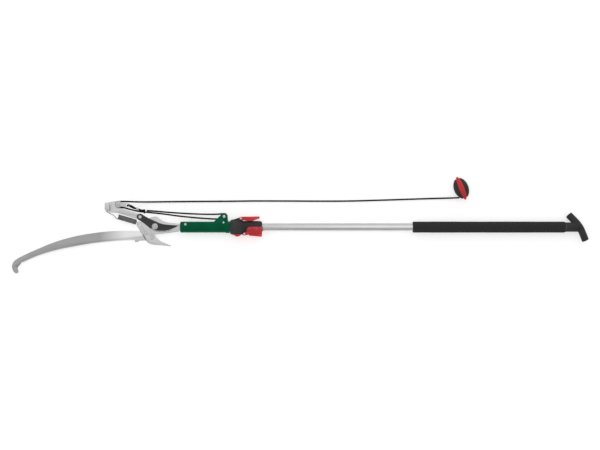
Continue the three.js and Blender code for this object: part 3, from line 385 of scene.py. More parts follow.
# %% Building blocks of a finish
class Finish:
    """One shader and the stretches of tree that the finishes share."""

    def __init__(self, name, roughness, metallic=0.0, specular=0.5):
        self.material = bpy.data.materials.new(name)
        self.material.use_nodes = True
        self.tree = self.material.node_tree
        self.shader = self.tree.nodes["Principled BSDF"]
        self.shader.inputs["Metallic"].default_value = metallic
        self.shader.inputs["Roughness"].default_value = roughness
        self.shader.inputs["Specular IOR Level"].default_value = specular
        self.surface = self.add("ShaderNodeTexCoord").outputs

    def add(self, kind, settings=None, **inputs):
        return wired(self.tree, kind, settings, **inputs)

    def calc(self, operation, *values):
        return calc(self.tree, operation, *values)

    def grain(self, scale, stretch=(1, 1, 1), detail=4.0, turn=0.0):
        """Noise in the piece's own coordinates; scale is per metre."""
        place = self.surface["Object"]
        placed = self.add("ShaderNodeMapping", Vector=place, Scale=stretch, Rotation=(0, 0, turn))
        noise = self.add("ShaderNodeTexNoise", Vector=placed.outputs["Vector"], Scale=scale, Detail=detail)
        return noise.outputs["Fac"]

    def cells(self, scale):
        """Small closed cells, as in foam."""
        return self.add("ShaderNodeTexVoronoi", Vector=self.surface["Object"], Scale=scale).outputs["Distance"]

    def ramp(self, fac, low, high, start=0.3, end=0.7):
        """A ramp between two colours or two grey values."""
        ramp = self.add("ShaderNodeValToRGB", Fac=fac)
        for stop, value, place in zip(ramp.color_ramp.elements, (low, high), (start, end)):
            stop.position = place
            stop.color = (*value, 1) if isinstance(value, tuple) else (value, value, value, 1)
        return ramp.outputs["Color"]

    def run(self, start, end):
        """0 to 1 between two distances along X from the pivot, in millimetres."""
        x = self.add("ShaderNodeSeparateXYZ", Vector=self.surface["Object"]).outputs["X"]
        spread = self.add("ShaderNodeMapRange", Value=x, From_Min=at(start, 0).x, From_Max=at(end, 0).x)
        return spread.outputs["Result"]

    def colour(self, source):
        feed(self.tree, self.shader.inputs["Base Color"], source)

    def mixed(self, fac, a, b):
        """Colour a where fac is 0, b where it is 1."""
        mix = self.add("ShaderNodeMix", {"data_type": "RGBA"}, Factor=fac)
        for socket, value in zip([s for s in mix.inputs if s.type == "RGBA"], (a, b)):
            feed(self.tree, socket, (*value, 1) if isinstance(value, tuple) else value)
        return [s for s in mix.outputs if s.type == "RGBA"][0]

    def roughness(self, fac, low, high):
        spread = self.add("ShaderNodeMapRange", Value=fac, To_Min=low, To_Max=high)
        feed(self.tree, self.shader.inputs["Roughness"], spread.outputs["Result"])

    def bump(self, fac, strength, depth):
        """Chains a bump of this depth, in metres, onto the shader."""
        node = self.add("ShaderNodeBump", Height=fac, Strength=strength, Distance=depth)
        normal = self.shader.inputs["Normal"]
        if normal.links:
            feed(self.tree, node.inputs["Normal"], normal.links[0].from_socket)
        feed(self.tree, normal, node.outputs["Normal"])

    def worn(self, base, bare, grain, start=0.53, end=0.6):
        """Colour that gives way to bare material on the piece's outer edges, unevenly."""
        edge = self.ramp(self.add("ShaderNodeNewGeometry").outputs["Pointiness"], 0.0, 1.0, start, end)
        uneven = self.calc("MULTIPLY", edge, self.ramp(grain, 0.0, 1.0, 0.4, 0.65))
        return self.mixed(uneven, base, bare)


# %% [markdown]
# ## Metals
# Drawn aluminium has fine lines along the tube. Stamped parts are bright zinc over steel, with a faint
# cloudy look. The saw is ground along its length, and its colour is painted lighter towards its bolted end,
# a painted reflection. The spring's wire is dark. One recipe makes them all: mostly the grey, the roughness
# and the stretch differ.

# %% Metal finishes
def metal(name, dark, light, rough, stretch, lines=0.35, turn=0.0, cloud=0.35, painted_sheen=None):
    """Drawn or ground metal: fine lines, a faint cloud over them, and an optional painted reflection that
    lightens one end.
    """
    f = Finish(name, sum(rough) / 2, metallic=0.9)
    work = f.grain(1.0, stretch, 6, turn)
    lined = f.ramp(work, dark, light, 0.35, 0.65)
    clouded = f.mixed(f.ramp(f.grain(35, detail=3), 0.0, cloud, 0.35, 0.75), lined, light)
    # painted reflection: the colour is ramped along X up to a near-white grey at one end
    if painted_sheen is not None:
        start, end, bright = painted_sheen
        clouded = f.mixed(f.run(start, end), clouded, bright)
    f.colour(clouded)
    f.roughness(work, *rough)
    f.bump(work, lines, 0.00006)
    f.bump(f.grain(260, detail=5), 0.08, 0.0001)
    return f.material


def grey(level):
    """A grey with a trace of blue."""
    return (level, level, level + 0.005)


ALUMINIUM = metal("drawn_aluminium", grey(0.66), grey(0.80), (0.20, 0.32), (3, 900, 900))
ZINC = metal("bright_zinc", grey(0.55), grey(0.65), (0.26, 0.38), (900, 1300, 1100), lines=0.08, cloud=0.2)
# the saw's colour is painted near white towards its root, a painted reflection of the overhead light
SAW_STEEL = metal(
    "ground_saw_steel", grey(0.36), grey(0.48), (0.30, 0.44), (14, 900, 500),
    turn=-0.15, painted_sheen=(-165, -90, grey(0.90)),
)
EDGE_STEEL = metal("ground_edge_steel", grey(0.55), grey(0.85), (0.18, 0.32), (900, 60, 60))
TOOTH_STEEL = metal("ground_tooth_steel", grey(0.40), grey(0.60), (0.24, 0.38), (900, 60, 60))
# painted shade: near black for the hook's slanted edge, where shade falls, not a colour of ground steel
SHADE_PAINTED_EDGE = metal("painted_shade_edge", grey(0.05), grey(0.12), (0.3, 0.5), (500, 60, 60))
SPRING_WIRE = metal("spring_wire", grey(0.16), grey(0.34), (0.25, 0.42), (300, 300, 300), lines=0.1)
print("seven metals, from", ALUMINIUM.name, "to", SPRING_WIRE.name)

# %% [markdown]
# ## Coated, moulded and foamed parts
# The cutting blade has a black slip coating with a fine tooth that wears through on its edges. Moulded
# plastic carries the mould's texture: fine and glossy on the green socket, coarser and dull on the black
# parts. Foam shows the skin of its closed cells. The braid takes its yarns from the rope's own UV map, with
# painted shade darkening the grooves between them.

# %% Coating and plastics
def coating():
    f = Finish("black_slip_coating", 0.45, 0.3)
    grain = f.grain(900, detail=5)
    base = f.ramp(grain, (0.030, 0.031, 0.034), (0.052, 0.053, 0.057))
    f.colour(f.worn(base, (0.35, 0.35, 0.36), f.grain(300, detail=3), 0.56, 0.64))
    f.roughness(f.grain(60, detail=4), 0.36, 0.55)
    f.bump(grain, 0.25, 0.00012)
    return f.material


def plastic(name, dark, light, rough, texture, depth, worn, shine):
    """Moulded plastic: roughness from low to high, the mould's texture per metre and its depth in metres."""
    f = Finish(name, sum(rough) / 2, specular=shine)
    base = f.ramp(f.grain(28, detail=3), dark, light)
    f.colour(f.worn(base, worn, f.grain(180, detail=3)))
    f.roughness(f.grain(70, detail=5), *rough)
    f.bump(f.grain(texture, detail=4), 0.3, depth)
    return f.material


BLACK_COAT = coating()
GREEN = plastic(
    "green_glossy_plastic", (0.0, 0.098, 0.041), (0.0, 0.122, 0.053), (0.24, 0.36), 420, 0.00003,
    worn=(0.002, 0.16, 0.08), shine=0.06,
)
BLACK = plastic(
    "black_grained_plastic", (0.037, 0.037, 0.038), (0.055, 0.055, 0.056), (0.42, 0.60), 1300, 0.00012,
    worn=(0.09, 0.09, 0.09), shine=0.12,
)
RED = plastic(
    "red_satin_plastic", (0.62, 0.030, 0.040), (0.74, 0.046, 0.056), (0.28, 0.42), 700, 0.00006,
    worn=(0.78, 0.12, 0.13), shine=0.25,
)


def foam_skin():
    f = Finish("closed_cell_foam", 0.9, specular=0.05)
    cells = f.cells(1400)
    f.colour(f.mixed(cells, (0.030, 0.030, 0.030), (0.052, 0.052, 0.052)))
    f.roughness(f.grain(90), 0.78, 0.95)
    f.bump(cells, 0.55, 0.0003)
    f.bump(f.grain(140, (0.4, 1, 1)), 0.35, 0.0006)
    return f.material


def braid():
    """Yarn colour from the rope's own UV map, so that it follows the bumps of its surface: painted shade in
    the grooves.
    """
    f = Finish("black_braid", 0.85, specular=0.12)
    split = f.add("ShaderNodeSeparateXYZ", Vector=f.surface["UV"]).outputs
    around = f.calc("MULTIPLY", split["X"], YARNS)
    lays = []
    for sign in ("ADD", "SUBTRACT"):
        wave = f.calc("SINE", f.calc("MULTIPLY", f.calc(sign, around, split["Y"]), math.pi))
        lays.append(f.calc("ABSOLUTE", wave))
    yarn = f.calc("MAXIMUM", *lays)
    fibre = f.grain(2600, detail=3)
    # painted shade: darker in the grooves between yarns, lighter on their crowns; the fibre grain over it is
    # the yarn's own
    shade = f.calc("MULTIPLY", yarn, f.calc("ADD", fibre, 0.4))
    f.colour(f.ramp(shade, (0.002, 0.002, 0.002), (0.014, 0.014, 0.015), 0.2, 0.95))
    f.bump(yarn, 0.5, 0.0003)
    f.bump(fibre, 0.3, 0.0002)
    return f.material


FOAM, ROPE = foam_skin(), braid()
for rope in (pull_rope, tackle_rope):
    rope.data.materials.append(ROPE)
print("finishes:", len(bpy.data.materials))

# %% [markdown]
# ## Round the edges of a CAD piece
# A stamped or moulded part never has a razor edge, and the light caught on its rounded edge is most of
# what makes it look real. The CAD node is loose triangles, so a copy is welded, its flat faces are joined
# again and its sharp edges are rounded. The copy then stands for the node.

# %% Copy, weld and round

def welded(node, name):
    """A copy of a CAD node with its points merged and its flat faces joined."""
    bm = bmesh.new()
    bm.from_mesh(frame["nodes"][node].data)
    bmesh.ops.remove_doubles(bm, verts=bm.verts, dist=2e-6)
    bmesh.ops.dissolve_limit(bm, angle_limit=math.radians(0.8), verts=bm.verts, edges=bm.edges)
    mesh = bpy.data.meshes.new(name)
    bm.to_mesh(mesh)
    bm.free()
    return in_scene(name, mesh)


def settled(piece, smooth=38):
    """Applies the modifiers and shades smooth across all but sharp edges."""
    shape = bpy.data.meshes.new_from_object(piece.evaluated_get(bpy.context.evaluated_depsgraph_get()))
    piece.modifiers.clear()
    piece.data = shape
    shape.shade_smooth()
    shape.set_sharp_from_angle(angle=math.radians(smooth))
    return piece


def rounded(piece, width, segments=3, angle=36):
    """Rounds the sharp edges of a piece, width in millimetres."""
    bevel = piece.modifiers.new("round", "BEVEL")
    bevel.width = width / 1000
    bevel.segments = segments
    bevel.limit_method = "ANGLE"
    bevel.angle_limit = math.radians(angle)
    return settled(piece)


def stand_in(piece, finish, *nodes):
    """The piece takes these nodes' place: their body, and a finish of its own."""
    if finish is not None:
        piece.data.materials.clear()
        piece.data.materials.append(finish)
    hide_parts(*nodes)
    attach(piece, BODY_OF[nodes[0]])
    return piece


def turned_corners(piece, where, radius):
    """Rounds the upright edges that stand at the chosen places, radius in millimetres."""
    bm = bmesh.new()
    bm.from_mesh(piece.data)
    upright, same, near = [], 0.01, 0.2  # mm
    for edge in bm.edges:
        a, b = (measured(v.co) for v in edge.verts)
        if (a.xy - b.xy).length < same and any((a.xy - Vector(place)).length < near for place in where):
            upright.append(edge)
    bmesh.ops.bevel(bm, geom=upright, offset=radius / 1000, segments=6, profile=0.5, affect="EDGES")
    bm.to_mesh(piece.data)
    bm.free()
    print(piece.name, "corners rounded:", len(upright))
    return piece


# %% [markdown]
# ## Pull lever
# The lever is folded from one sheet, and the blank's corners are cut round before it is folded. Only those
# four upright edges get a wide rounding. Every other edge gets the small one of a stamped part.

# %% The lever's folded end has round corners
lever = welded("pull_lever", "stamped_lever")
turned_corners(lever, [(-150, 50.5), (-150, 73.5)], 2.3)
turned_corners(lever, [(-136, 50.5), (-136, 73.5)], 3.5)
stand_in(rounded(lever, 0.7), ZINC, "pull_lever")

# %% [markdown]
# ## Moulded and stamped pieces
# These pieces already have their real shape in the CAD. What they lack is the radius of the mould or of the
# tumbling drum, wide on plastic and small on metal, so one loop rounds them and gives each its finish.

# %% Moulded and stamped pieces that only need their edges rounded
for node, name, finish, width in (
    ("head_socket", "green_socket", GREEN, 0.9),
    ("clamp_body", "black_clamp", BLACK, 0.9),
    ("clamp_shoe", "red_shoe", RED, 1.2),
    ("upper_clamp_lever", "red_upper_lever", RED, 1.3),
    ("lower_clamp_lever", "red_lower_lever", RED, 1.1),
    ("rope_becket", "becket_strap", ZINC, 0.35),
    ("rope_ferrule", "rope_crimp", ZINC, 0.3),
    ("pivot_washer", "pivot_washer_zinc", ZINC, 0.25),
    ("pivot_nut", "pivot_nut_zinc", ZINC, 0.6),
    ("pivot_bolt", "pivot_bolt_zinc", ZINC, 0.5),
    *[
        (f"{part}_{i}", f"{part}_zinc_{i}", ZINC, width)
        for part, width in (("saw_washer", 0.2), ("wing_nut", 0.7), ("saw_bolt", 0.8))
        for i in (1, 2)
    ],
):
    piece = stand_in(rounded(welded(node, name), width), finish, node)
    print(name, len(piece.data.polygons), "faces")

# %% [markdown]
# ## Ground edges
# A grinder leaves a slope on one side of a plate: along the belly of the cutting blade, on the outside of
# the hook, and on every saw tooth. Moving the upper rim of the plate in from its lower rim makes exactly
# that slope. The slope gets its own finish, because its ground steel doesn't look like the plate's face; on
# the hook that finish is near black, a painted shade on the slant.

# %% A slope along chosen edges
WALL, CAP = 0.3, 0.9  # a face is a wall below the first upward share of its normal, a cap above the second


def ground(piece, chosen, width, finish):
    """Moves the top rim in by width mm where chosen(x, y) is above 0. Returns how many points moved."""
    bm = bmesh.new()
    bm.from_mesh(piece.data)
    bm.normal_update()
    top = max(v.co.z for v in bm.verts)
    moves = {}
    for v in bm.verts:
        walls = [f for f in v.link_faces if abs(f.normal.z) < WALL]
        caps = [f for f in v.link_faces if f.normal.z > CAP]
        x, y, _ = measured(v.co)
        share = chosen(x, y)
        if v.co.z > top - 1e-5 and walls and caps and share > 0:
            out = Vector((sum(f.normal.x for f in walls), sum(f.normal.y for f in walls), 0))
            moves[v] = out.normalized() * width * share / 1000
    slopes = {f for v in moves for f in v.link_faces if abs(f.normal.z) < WALL}
    slopes = {f for f in slopes if sum(v in moves for v in f.verts) > 1}
    for v, move in moves.items():
        v.co -= move
    piece.data.materials.clear()
    for m in finish:
        piece.data.materials.append(m)
    for f in slopes:
        f.material_index = 1
    bm.to_mesh(piece.data)
    bm.free()
    return len(moves)


# %% [markdown]
# ## Cutting blade
# The blade is a coated plate whose belly is ground bare. The slope is widest in the middle of the belly.
# It runs out at the root and narrows towards the tip, as a wheel leaves it when the blade is rocked over it.

# %% The cutting blade: a ground belly
BELLY = [(-36, 14), (-20, 1), (-8, -8.6), (2, -13.6), (25, -15), (40, -13), (56, -6.5), (68.6, 3.6)]


def on_belly(x, y):
    """1 along the blade's cutting edge, fading to 0 at its root and to a quarter at its tip."""
    root, tip = -24, 70
    edge = np.interp(x, [p[0] for p in BELLY], [p[1] for p in BELLY])
    if x < root or x > tip or y > edge + 1.6:
        return 0
    return min(1.0, (x - root) / 14, max(0.25, (tip - x) / 16))


cutting_blade = welded("cutting_blade", "coated_cutting_blade")
print("blade rim points ground:", ground(cutting_blade, on_belly, 4.0, (BLACK_COAT, EDGE_STEEL)))
stand_in(rounded(cutting_blade, 0.25, 2), None, "cutting_blade")

# %% [markdown]
# ## Hook
# The hook is a bright stamped plate. Its outer edge is ground off at a slant, and the slope is painted near
# black as shade.

# %% The hook: a ground slope on its outer edge, painted dark as shade
OUTER_EDGE = [(-10, -51.5), (-26, -42.5), (-37, -24), (-47, -8)]


def on_hook(x, y):
    """1 down the hook's outer edge, fading at the spring's eye and at the bottom."""
    bottom, top, fade = -49, -10, 6
    if not bottom < y < top:
        return 0
    edge = np.interp(y, [p[1] for p in OUTER_EDGE], [p[0] for p in OUTER_EDGE])
    return min(1.0, (y - bottom) / fade, (top - y) / fade) if abs(x - edge) < 1.5 else 0


hook = welded("hook_frame", "hook_plate")
# the hook's slope gets the painted shade, near black
print("hook rim points ground:", ground(hook, on_hook, 2.4, (ZINC, SHADE_PAINTED_EDGE)))
stand_in(rounded(hook, 0.5, 3), None, "hook_frame")

# %% [markdown]
# ## Saw
# Every tooth of a pruning saw is ground from the side. The same rim is moved for all of them at once:
# whatever lies on the toothed side of the blade's middle line is ground.

# %% The saw: every tooth ground on its upper side
MIDDLE = [(-431, -120), (-350, -76), (-293, -56), (-235, -43), (-178, -33), (-121, -27.5), (-60, -26)]


def on_teeth(x, y):
    """1 on the toothed side of the blade."""
    first_tooth, last_tooth = -404, -60
    middle = np.interp(x, [p[0] for p in MIDDLE], [p[1] for p in MIDDLE])
    return 1 if first_tooth < x < last_tooth and y < middle else 0


saw = welded("saw_blade", "curved_saw")
print("saw rim points ground:", ground(saw, on_teeth, 1.1, (SAW_STEEL, TOOTH_STEEL)))
stand_in(rounded(saw, 0.18, 1, 50), None, "saw_blade")

# %% [markdown]
# ## Turned pieces
# Tubes, foam and pulleys are round, so each is a profile spun about its own axis with many more sides than
# the CAD needs. The pole's pieces are spun about the pole, the pulleys about their axles.

# %% Spin a profile
def spun(name, profile, axis_place, axis, sides=96):
    """A closed profile of (distance along the axis, radius) in mm, spun about an axis through a place."""
    axis = Vector(axis)
    across = axis.orthogonal().normalized()
    up = axis.cross(across)
    verts = []
    for run, radius in profile:
        for j in range(sides):
            a = 2 * math.pi * j / sides
            offset = axis * run + (across * math.cos(a) + up * math.sin(a)) * radius
            verts.append(axis_place + offset / 1000)
    rings = [range(i * sides, (i + 1) * sides) for i in range(len(profile))]
    mesh = bpy.data.meshes.new(name)
    mesh.from_pydata([tuple(v) for v in verts], [], skin([*rings, rings[0]]))
    piece = facing_out(in_scene(name, mesh))
    return settled(piece, 32)


def rim(run0, run1, outer, inner, corner):
    """A tube's profile with small round corners on its outer rims."""
    c = corner
    return [
        (run0, inner), (run0, outer - c), (run0 + 0.3 * c, outer - 0.3 * c), (run0 + c, outer),
        (run1 - c, outer), (run1 - 0.3 * c, outer - 0.3 * c), (run1, outer - c), (run1, inner),
    ]


POLE_AXIS = (1, 0, 0)
TUBES = (("outer_tube", "outer_aluminium_tube", 13), ("inner_tube", "inner_aluminium_tube", 10.7))
TUBE_WALL = 1.2
for node, name, outer in TUBES:
    low, high = (measured(c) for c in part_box(node))
    piece = spun(name, rim(low.x, high.x, outer, outer - TUBE_WALL, 0.35), at(0, 0), POLE_AXIS)
    stand_in(piece, ALUMINIUM, node)
    print(name, round(high.x - low.x), "mm long")

# %% [markdown]
# ## Foam sleeve
# The sleeve is a tube of closed-cell foam stretched onto the pole. Its ends are cut and rubbed round, and
# its wall is never quite even, so the profile swells and sinks by a tenth of a millimetre or two.

# %% Foam
foam_low, foam_high = (measured(c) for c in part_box("foam_grip"))
FOAM_RADIUS, FOAM_BORE = 16.7, 13.3
END_DROP, SHOULDER_DROP = 2.4, 1.0  # how far the radius falls at each end face and just before it
FRONT_ROUND, REAR_ROUND = 2.4, 6.0  # how much length each rounded end takes up
FOAM_STEPS = 90
foam_profile = [
    (foam_low.x, FOAM_BORE),
    (foam_low.x, FOAM_RADIUS - END_DROP),
    (foam_low.x + 0.7, FOAM_RADIUS - SHOULDER_DROP),
]
for run in np.linspace(foam_low.x + FRONT_ROUND, foam_high.x - REAR_ROUND, FOAM_STEPS + 1):
    uneven = 0.10 * math.sin(0.031 * run) + 0.06 * math.sin(0.113 * run + 1.0) - 0.16
    foam_profile.append((run, FOAM_RADIUS + uneven))
foam_profile += [
    (foam_high.x - 3, FOAM_RADIUS - SHOULDER_DROP),
    (foam_high.x, FOAM_RADIUS - END_DROP),
    (foam_high.x, FOAM_BORE),
]
foam = spun("foam_sleeve", foam_profile, at(0, 0), POLE_AXIS)
stand_in(foam, FOAM, "foam_grip")
print("foam", round(foam_high.x - foam_low.x), "mm")

# %% [markdown]
# ## Pulleys
# Each wheel is a spool: two flanges with rounded rims and a groove that fits the rope. The hub stands a
# little proud of a shallow dish, as on a pressed steel wheel.

# %% Pulley wheels
def wheel_profile():
    """Half of the wheel's section, then the same half turned over. The dish lies between hub and rim."""
    half_width, rim_radius, groove, bore, lip = 3.5, 10.0, 4.9, 2.8, 2.3
    dish = half_width - 0.7
    side = [
        (-half_width, bore), (-half_width, 5.0), (-dish, 5.7), (-dish, 8.2),
        (-half_width, 8.8), (-half_width, rim_radius - 0.5), (-half_width + 0.3, rim_radius),
        (-lip - 0.35, rim_radius), (-lip - 0.1, rim_radius - 0.3), (-lip, groove + 0.4), (-lip + 0.4, groove),
    ]
    return side + [(-run, radius) for run, radius in reversed(side)]


for node, name, place in (
    ("lever_pulley", "lever_wheel_zinc", LEVER_WHEEL),
    ("bracket_pulley", "fin_wheel_zinc", FIN_WHEEL),
):
    wheel = spun(name, wheel_profile(), at(*place), (0, 0, 1), 64)
    stand_in(wheel, ZINC, node)
    print(name, len(wheel.data.polygons), "faces")

# %% [markdown]
# ## Hand bar
# The bar and its neck are moulded in one, so where they meet there is a soft fillet that a joined CAD solid
# doesn't have. A voxel remesh turns the solid into an even skin, and a few rounds of smoothing pull the
# fillets and the rims round. The bore in each end stays, because its wall is several voxels thick.

# %% Hand bar
hand_bar = welded("end_handle", "black_hand_bar")
remesh = hand_bar.modifiers.new("skin", "REMESH")
remesh.mode = "VOXEL"
remesh.voxel_size = 0.0009  # fine enough to keep the bores
relax = hand_bar.modifiers.new("fillets", "SMOOTH")
relax.factor, relax.iterations = 0.5, 9
stand_in(settled(hand_bar, 60), BLACK, "end_handle")
print("hand bar", len(hand_bar.data.polygons), "faces")

# %% [markdown]
# ## Rivets, screws and axle heads with Geometry Nodes
# Every fastener here is the same idea: a round head that domes up, and a straight shank. One tree makes a
# button from a cylinder whose top is lifted into a dome, and puts one on each point it is given. Each point
# says how wide and high its button is and which way it faces, so one tree serves the rivets, the screws, the
# axle heads and their shanks. The result is made a plain mesh, one for each body that the fasteners ride on.

# %% The button tree
def empty_tree(name, result, **inputs):
    """A geometry tree with these inputs, named with _ for a space, and one result."""
    tree = bpy.data.node_groups.new(name, "GeometryNodeTree")
    put = tree.interface.new_socket
    for socket, kind in inputs.items():
        put(name=socket.replace("_", " "), in_out="INPUT", socket_type="NodeSocket" + kind)
    put(name=result, in_out="OUTPUT", socket_type="NodeSocketGeometry")
    return tree, tree.nodes.new("NodeGroupInput").outputs, tree.nodes.new("NodeGroupOutput").inputs[result]


def handed_out(tree, given, geometry, result):
    """Makes the geometry real, gives it its finish and hands it out."""
    real = wired(tree, "GeometryNodeRealizeInstances", Geometry=geometry).outputs["Geometry"]
    coated = wired(tree, "GeometryNodeSetMaterial", Geometry=real, Material=given["Finish"])
    feed(tree, result, coated.outputs["Geometry"])
    return tree


def button_tree():
    tree, given, result = empty_tree(
        "buttons", "Fasteners",
        Points="Geometry", Sides="Int", Rings="Int", Dome_share="Float", Finish="Material",
    )
    button = wired(
        tree, "GeometryNodeMeshCylinder",
        Radius=1.0, Depth=1.0, Vertices=given["Sides"], Fill_Segments=given["Rings"],
    )
    place = wired(tree, "GeometryNodeInputPosition").outputs["Position"]
    split = wired(tree, "ShaderNodeSeparateXYZ", Vector=place).outputs
    x2, y2 = (calc(tree, "MULTIPLY", split[way], split[way]) for way in "XY")
    level2 = calc(tree, "MAXIMUM", calc(tree, "SUBTRACT", 1.0, calc(tree, "ADD", x2, y2)), 0.0)
    drop = calc(tree, "SUBTRACT", calc(tree, "SQRT", level2), 1.0)
    on_top = calc(tree, "GREATER_THAN", split["Z"], 0.0)
    lift = calc(tree, "MULTIPLY", calc(tree, "MULTIPLY", drop, on_top), given["Dome share"])
    offset = wired(tree, "ShaderNodeCombineXYZ", Z=lift).outputs["Vector"]
    shaped = wired(tree, "GeometryNodeSetPosition", Geometry=button.outputs["Mesh"], Offset=offset)
    instances = wired(
        tree, "GeometryNodeInstanceOnPoints", Points=given["Points"], Instance=shaped.outputs["Geometry"],
    )
    for name, socket in (("size", "Scale"), ("facing", "Rotation")):
        named = wired(tree, "GeometryNodeInputNamedAttribute", {"data_type": "FLOAT_VECTOR"}, Name=name)
        feed(tree, instances.inputs[socket], named.outputs["Attribute"])
    return handed_out(tree, given, instances.outputs["Instances"], result)


def grown(piece, tree, **inputs):
    """Puts a tree on a piece, sets its named inputs by their identifiers and keeps the mesh that it makes."""
    modifier = piece.modifiers.new(tree.name, "NODES")
    modifier.node_group = tree
    sockets = {s.name: s.identifier for s in tree.interface.items_tree if s.in_out == "INPUT"}
    for name, value in inputs.items():
        modifier[sockets[name.replace("_", " ")]] = value
    return settled(piece, 45)


BUTTONS = button_tree()


def fasteners(name, buttons, *nodes):
    """Buttons of (x, y, z of the base, radius, height, up or down) in mm from the pivot, as one piece."""
    mesh = bpy.data.meshes.new(name)
    mesh.from_pydata([tuple(at(x, y, z + way * height / 2)) for x, y, z, _, height, way in buttons], [], [])
    size = mesh.attributes.new("size", "FLOAT_VECTOR", "POINT")
    facing = mesh.attributes.new("facing", "FLOAT_VECTOR", "POINT")
    size.data.foreach_set("vector", [v / 1000 for _, _, _, r, h, _ in buttons for v in (r, r, h)])
    facing.data.foreach_set("vector", [v for b in buttons for v in (0 if b[5] > 0 else math.pi, 0, 0)])
    piece = grown(in_scene(name, mesh), BUTTONS, Sides=40, Rings=7, Dome_share=0.55, Finish=ZINC)
    stand_in(piece, None, *nodes)
    print(name, len(buttons), "buttons,", len(piece.data.polygons), "faces")


# %% [markdown]
# ## Where the fasteners sit
# A rivet or an axle has a head beyond each end of its shank. A screw has one head, underneath. How high and
# low each one goes is read from the CAD, so only its place, its widths and its head's height are given.

# %% Fasteners of the head, the jaw and the pole
RIVET_HEAD, LEVER_HEAD, HANDLE_SCREW_HEAD = 1.4, 2, 1.7  # how high the heads stand


FASTENERS = {  # heads, node, x, y, radius of the shank and of the head, height of a head
    "head_fasteners": (
        (2, "socket_rivet", 92, 8.4, 2.5, 3.8, RIVET_HEAD),
        (2, "fin_screw", 206, 13.7, 1.3, 3.2, RIVET_HEAD),
        (2, "bracket_axle", FIN_WHEEL[0], FIN_WHEEL[1], 2.5, 4.6, RIVET_HEAD),
        (1, "tube_screw", 150, 0, 2, 3.8, RIVET_HEAD),
    ),
    "jaw_fasteners": (
        (2, "lever_rivet", -44.5, 30.5, 3, 5.2, LEVER_HEAD),
        (2, "lever_axle", LEVER_WHEEL[0], LEVER_WHEEL[1], 2.5, 4.6, LEVER_HEAD),
    ),
    "pole_fasteners": (
        (2, "upper_lever_pin", 258, 26.2, 2, 3.4, RIVET_HEAD),
        (2, "lower_lever_pin", 268, -20.5, 2, 3.4, RIVET_HEAD),
        (1, "handle_screw", 1242, 0, 1.6, 3.2, HANDLE_SCREW_HEAD),
    ),
}


def headed(heads, node, x, y, shank, head, height):
    """A shank with a head below it and, where it has two heads, one above it."""
    low, high = (measured(c).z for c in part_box(node))
    low, high = low + height, high - height * (heads - 1)
    upper = [(x, y, high, head, height, 1)] * (heads - 1)
    return [(x, y, low, shank, high - low, 1), *upper, (x, y, low, head, height, -1)]


for name, rows in FASTENERS.items():
    fasteners(name, [button for row in rows for button in headed(*row)], *(row[1] for row in rows))

# %% [markdown]
# ## Return spring with Geometry Nodes
# The spring is one wire: a hook, a close-wound body and a hook. The body follows a rule, so the tree winds it
# from its number of turns, its radius and its length, lays it along its direction, adds the two hooks that it
# is given as lines, and sweeps the wire's round section along all of it.

# %% The spring tree
def spring_tree():
    tree, given, result = empty_tree(
        "spring", "Spring", Hooks="Geometry", Turns="Float", Coil_radius="Float", Length="Float",
        Wire_radius="Float", Place="Vector", Lean="Vector", Finish="Material",
    )
    coil = wired(
        tree, "GeometryNodeCurveSpiral", Resolution=28, Rotations=given["Turns"], Height=given["Length"],
        Start_Radius=given["Coil radius"], End_Radius=given["Coil radius"],
    ).outputs["Curve"]
    laid = wired(
        tree, "GeometryNodeTransform", Geometry=coil, Translation=given["Place"], Rotation=given["Lean"],
    )
    lines = wired(tree, "GeometryNodeMeshToCurve", Mesh=given["Hooks"]).outputs["Curve"]
    both = wired(tree, "GeometryNodeJoinGeometry", Geometry=laid.outputs["Geometry"])
    feed(tree, both.inputs["Geometry"], lines)
    section = wired(tree, "GeometryNodeCurvePrimitiveCircle", Resolution=10, Radius=given["Wire radius"])
    swept = wired(
        tree, "GeometryNodeCurveToMesh",
        Curve=both.outputs["Geometry"], Profile_Curve=section.outputs["Curve"], Fill_Caps=True,
    )
    return handed_out(tree, given, swept.outputs["Mesh"], result)


# %% [markdown]
# ## Wind the spring
# The coil lies between a hole in the lever and the eye of the hook plate. Each wire end leaves the coil,
# drops under its plate and comes up through the hole, so it is drawn as a short route of places.

# %% Wind the spring
COIL_FROM, COIL_TO = Vector((-111.5, 31, 0)), Vector((-55.5, 14.3, 0))
COIL_WAY, COIL_LENGTH = (COIL_TO - COIL_FROM).normalized(), (COIL_TO - COIL_FROM).length
WIRE, COIL = 1.1, 6.9  # radius of the wire, and of the coil to the wire's middle
HOOK_STEP = 0.0008
coil_side = Vector((-COIL_WAY.y, COIL_WAY.x, 0)) * COIL
left_hook = [
    COIL_FROM + COIL_WAY * 1.2 - coil_side,
    COIL_FROM - COIL_WAY * 3 - coil_side * 0.75,
    *map(Vector, ((-126, 36.4, -3.6), (-138.5, 42.4, -4.1), (-139, 46, -1.5), (-139, 46, 2.8))),
]
right_hook = [
    COIL_TO - COIL_WAY * 1.2 + coil_side * 0.2 + Vector((0, 0, -5)),
    COIL_TO + COIL_WAY * 2.5 + Vector((0, 0, -4.2)),
    *map(Vector, ((-49, 8, -4.1), (-46, 7, -1.5), (-46, 7, 2.8))),
]
hook_points, hook_edges = [], []
for hook_route in (left_hook, right_hook):
    line, _ = smooth_line([tuple(p) for p in hook_route], HOOK_STEP)
    first = len(hook_points)
    hook_points += [tuple(p) for p in line]
    hook_edges += [(first + i, first + i + 1) for i in range(len(line) - 1)]
spring_mesh = bpy.data.meshes.new("wound_spring")
spring_mesh.from_pydata(hook_points, hook_edges, [])
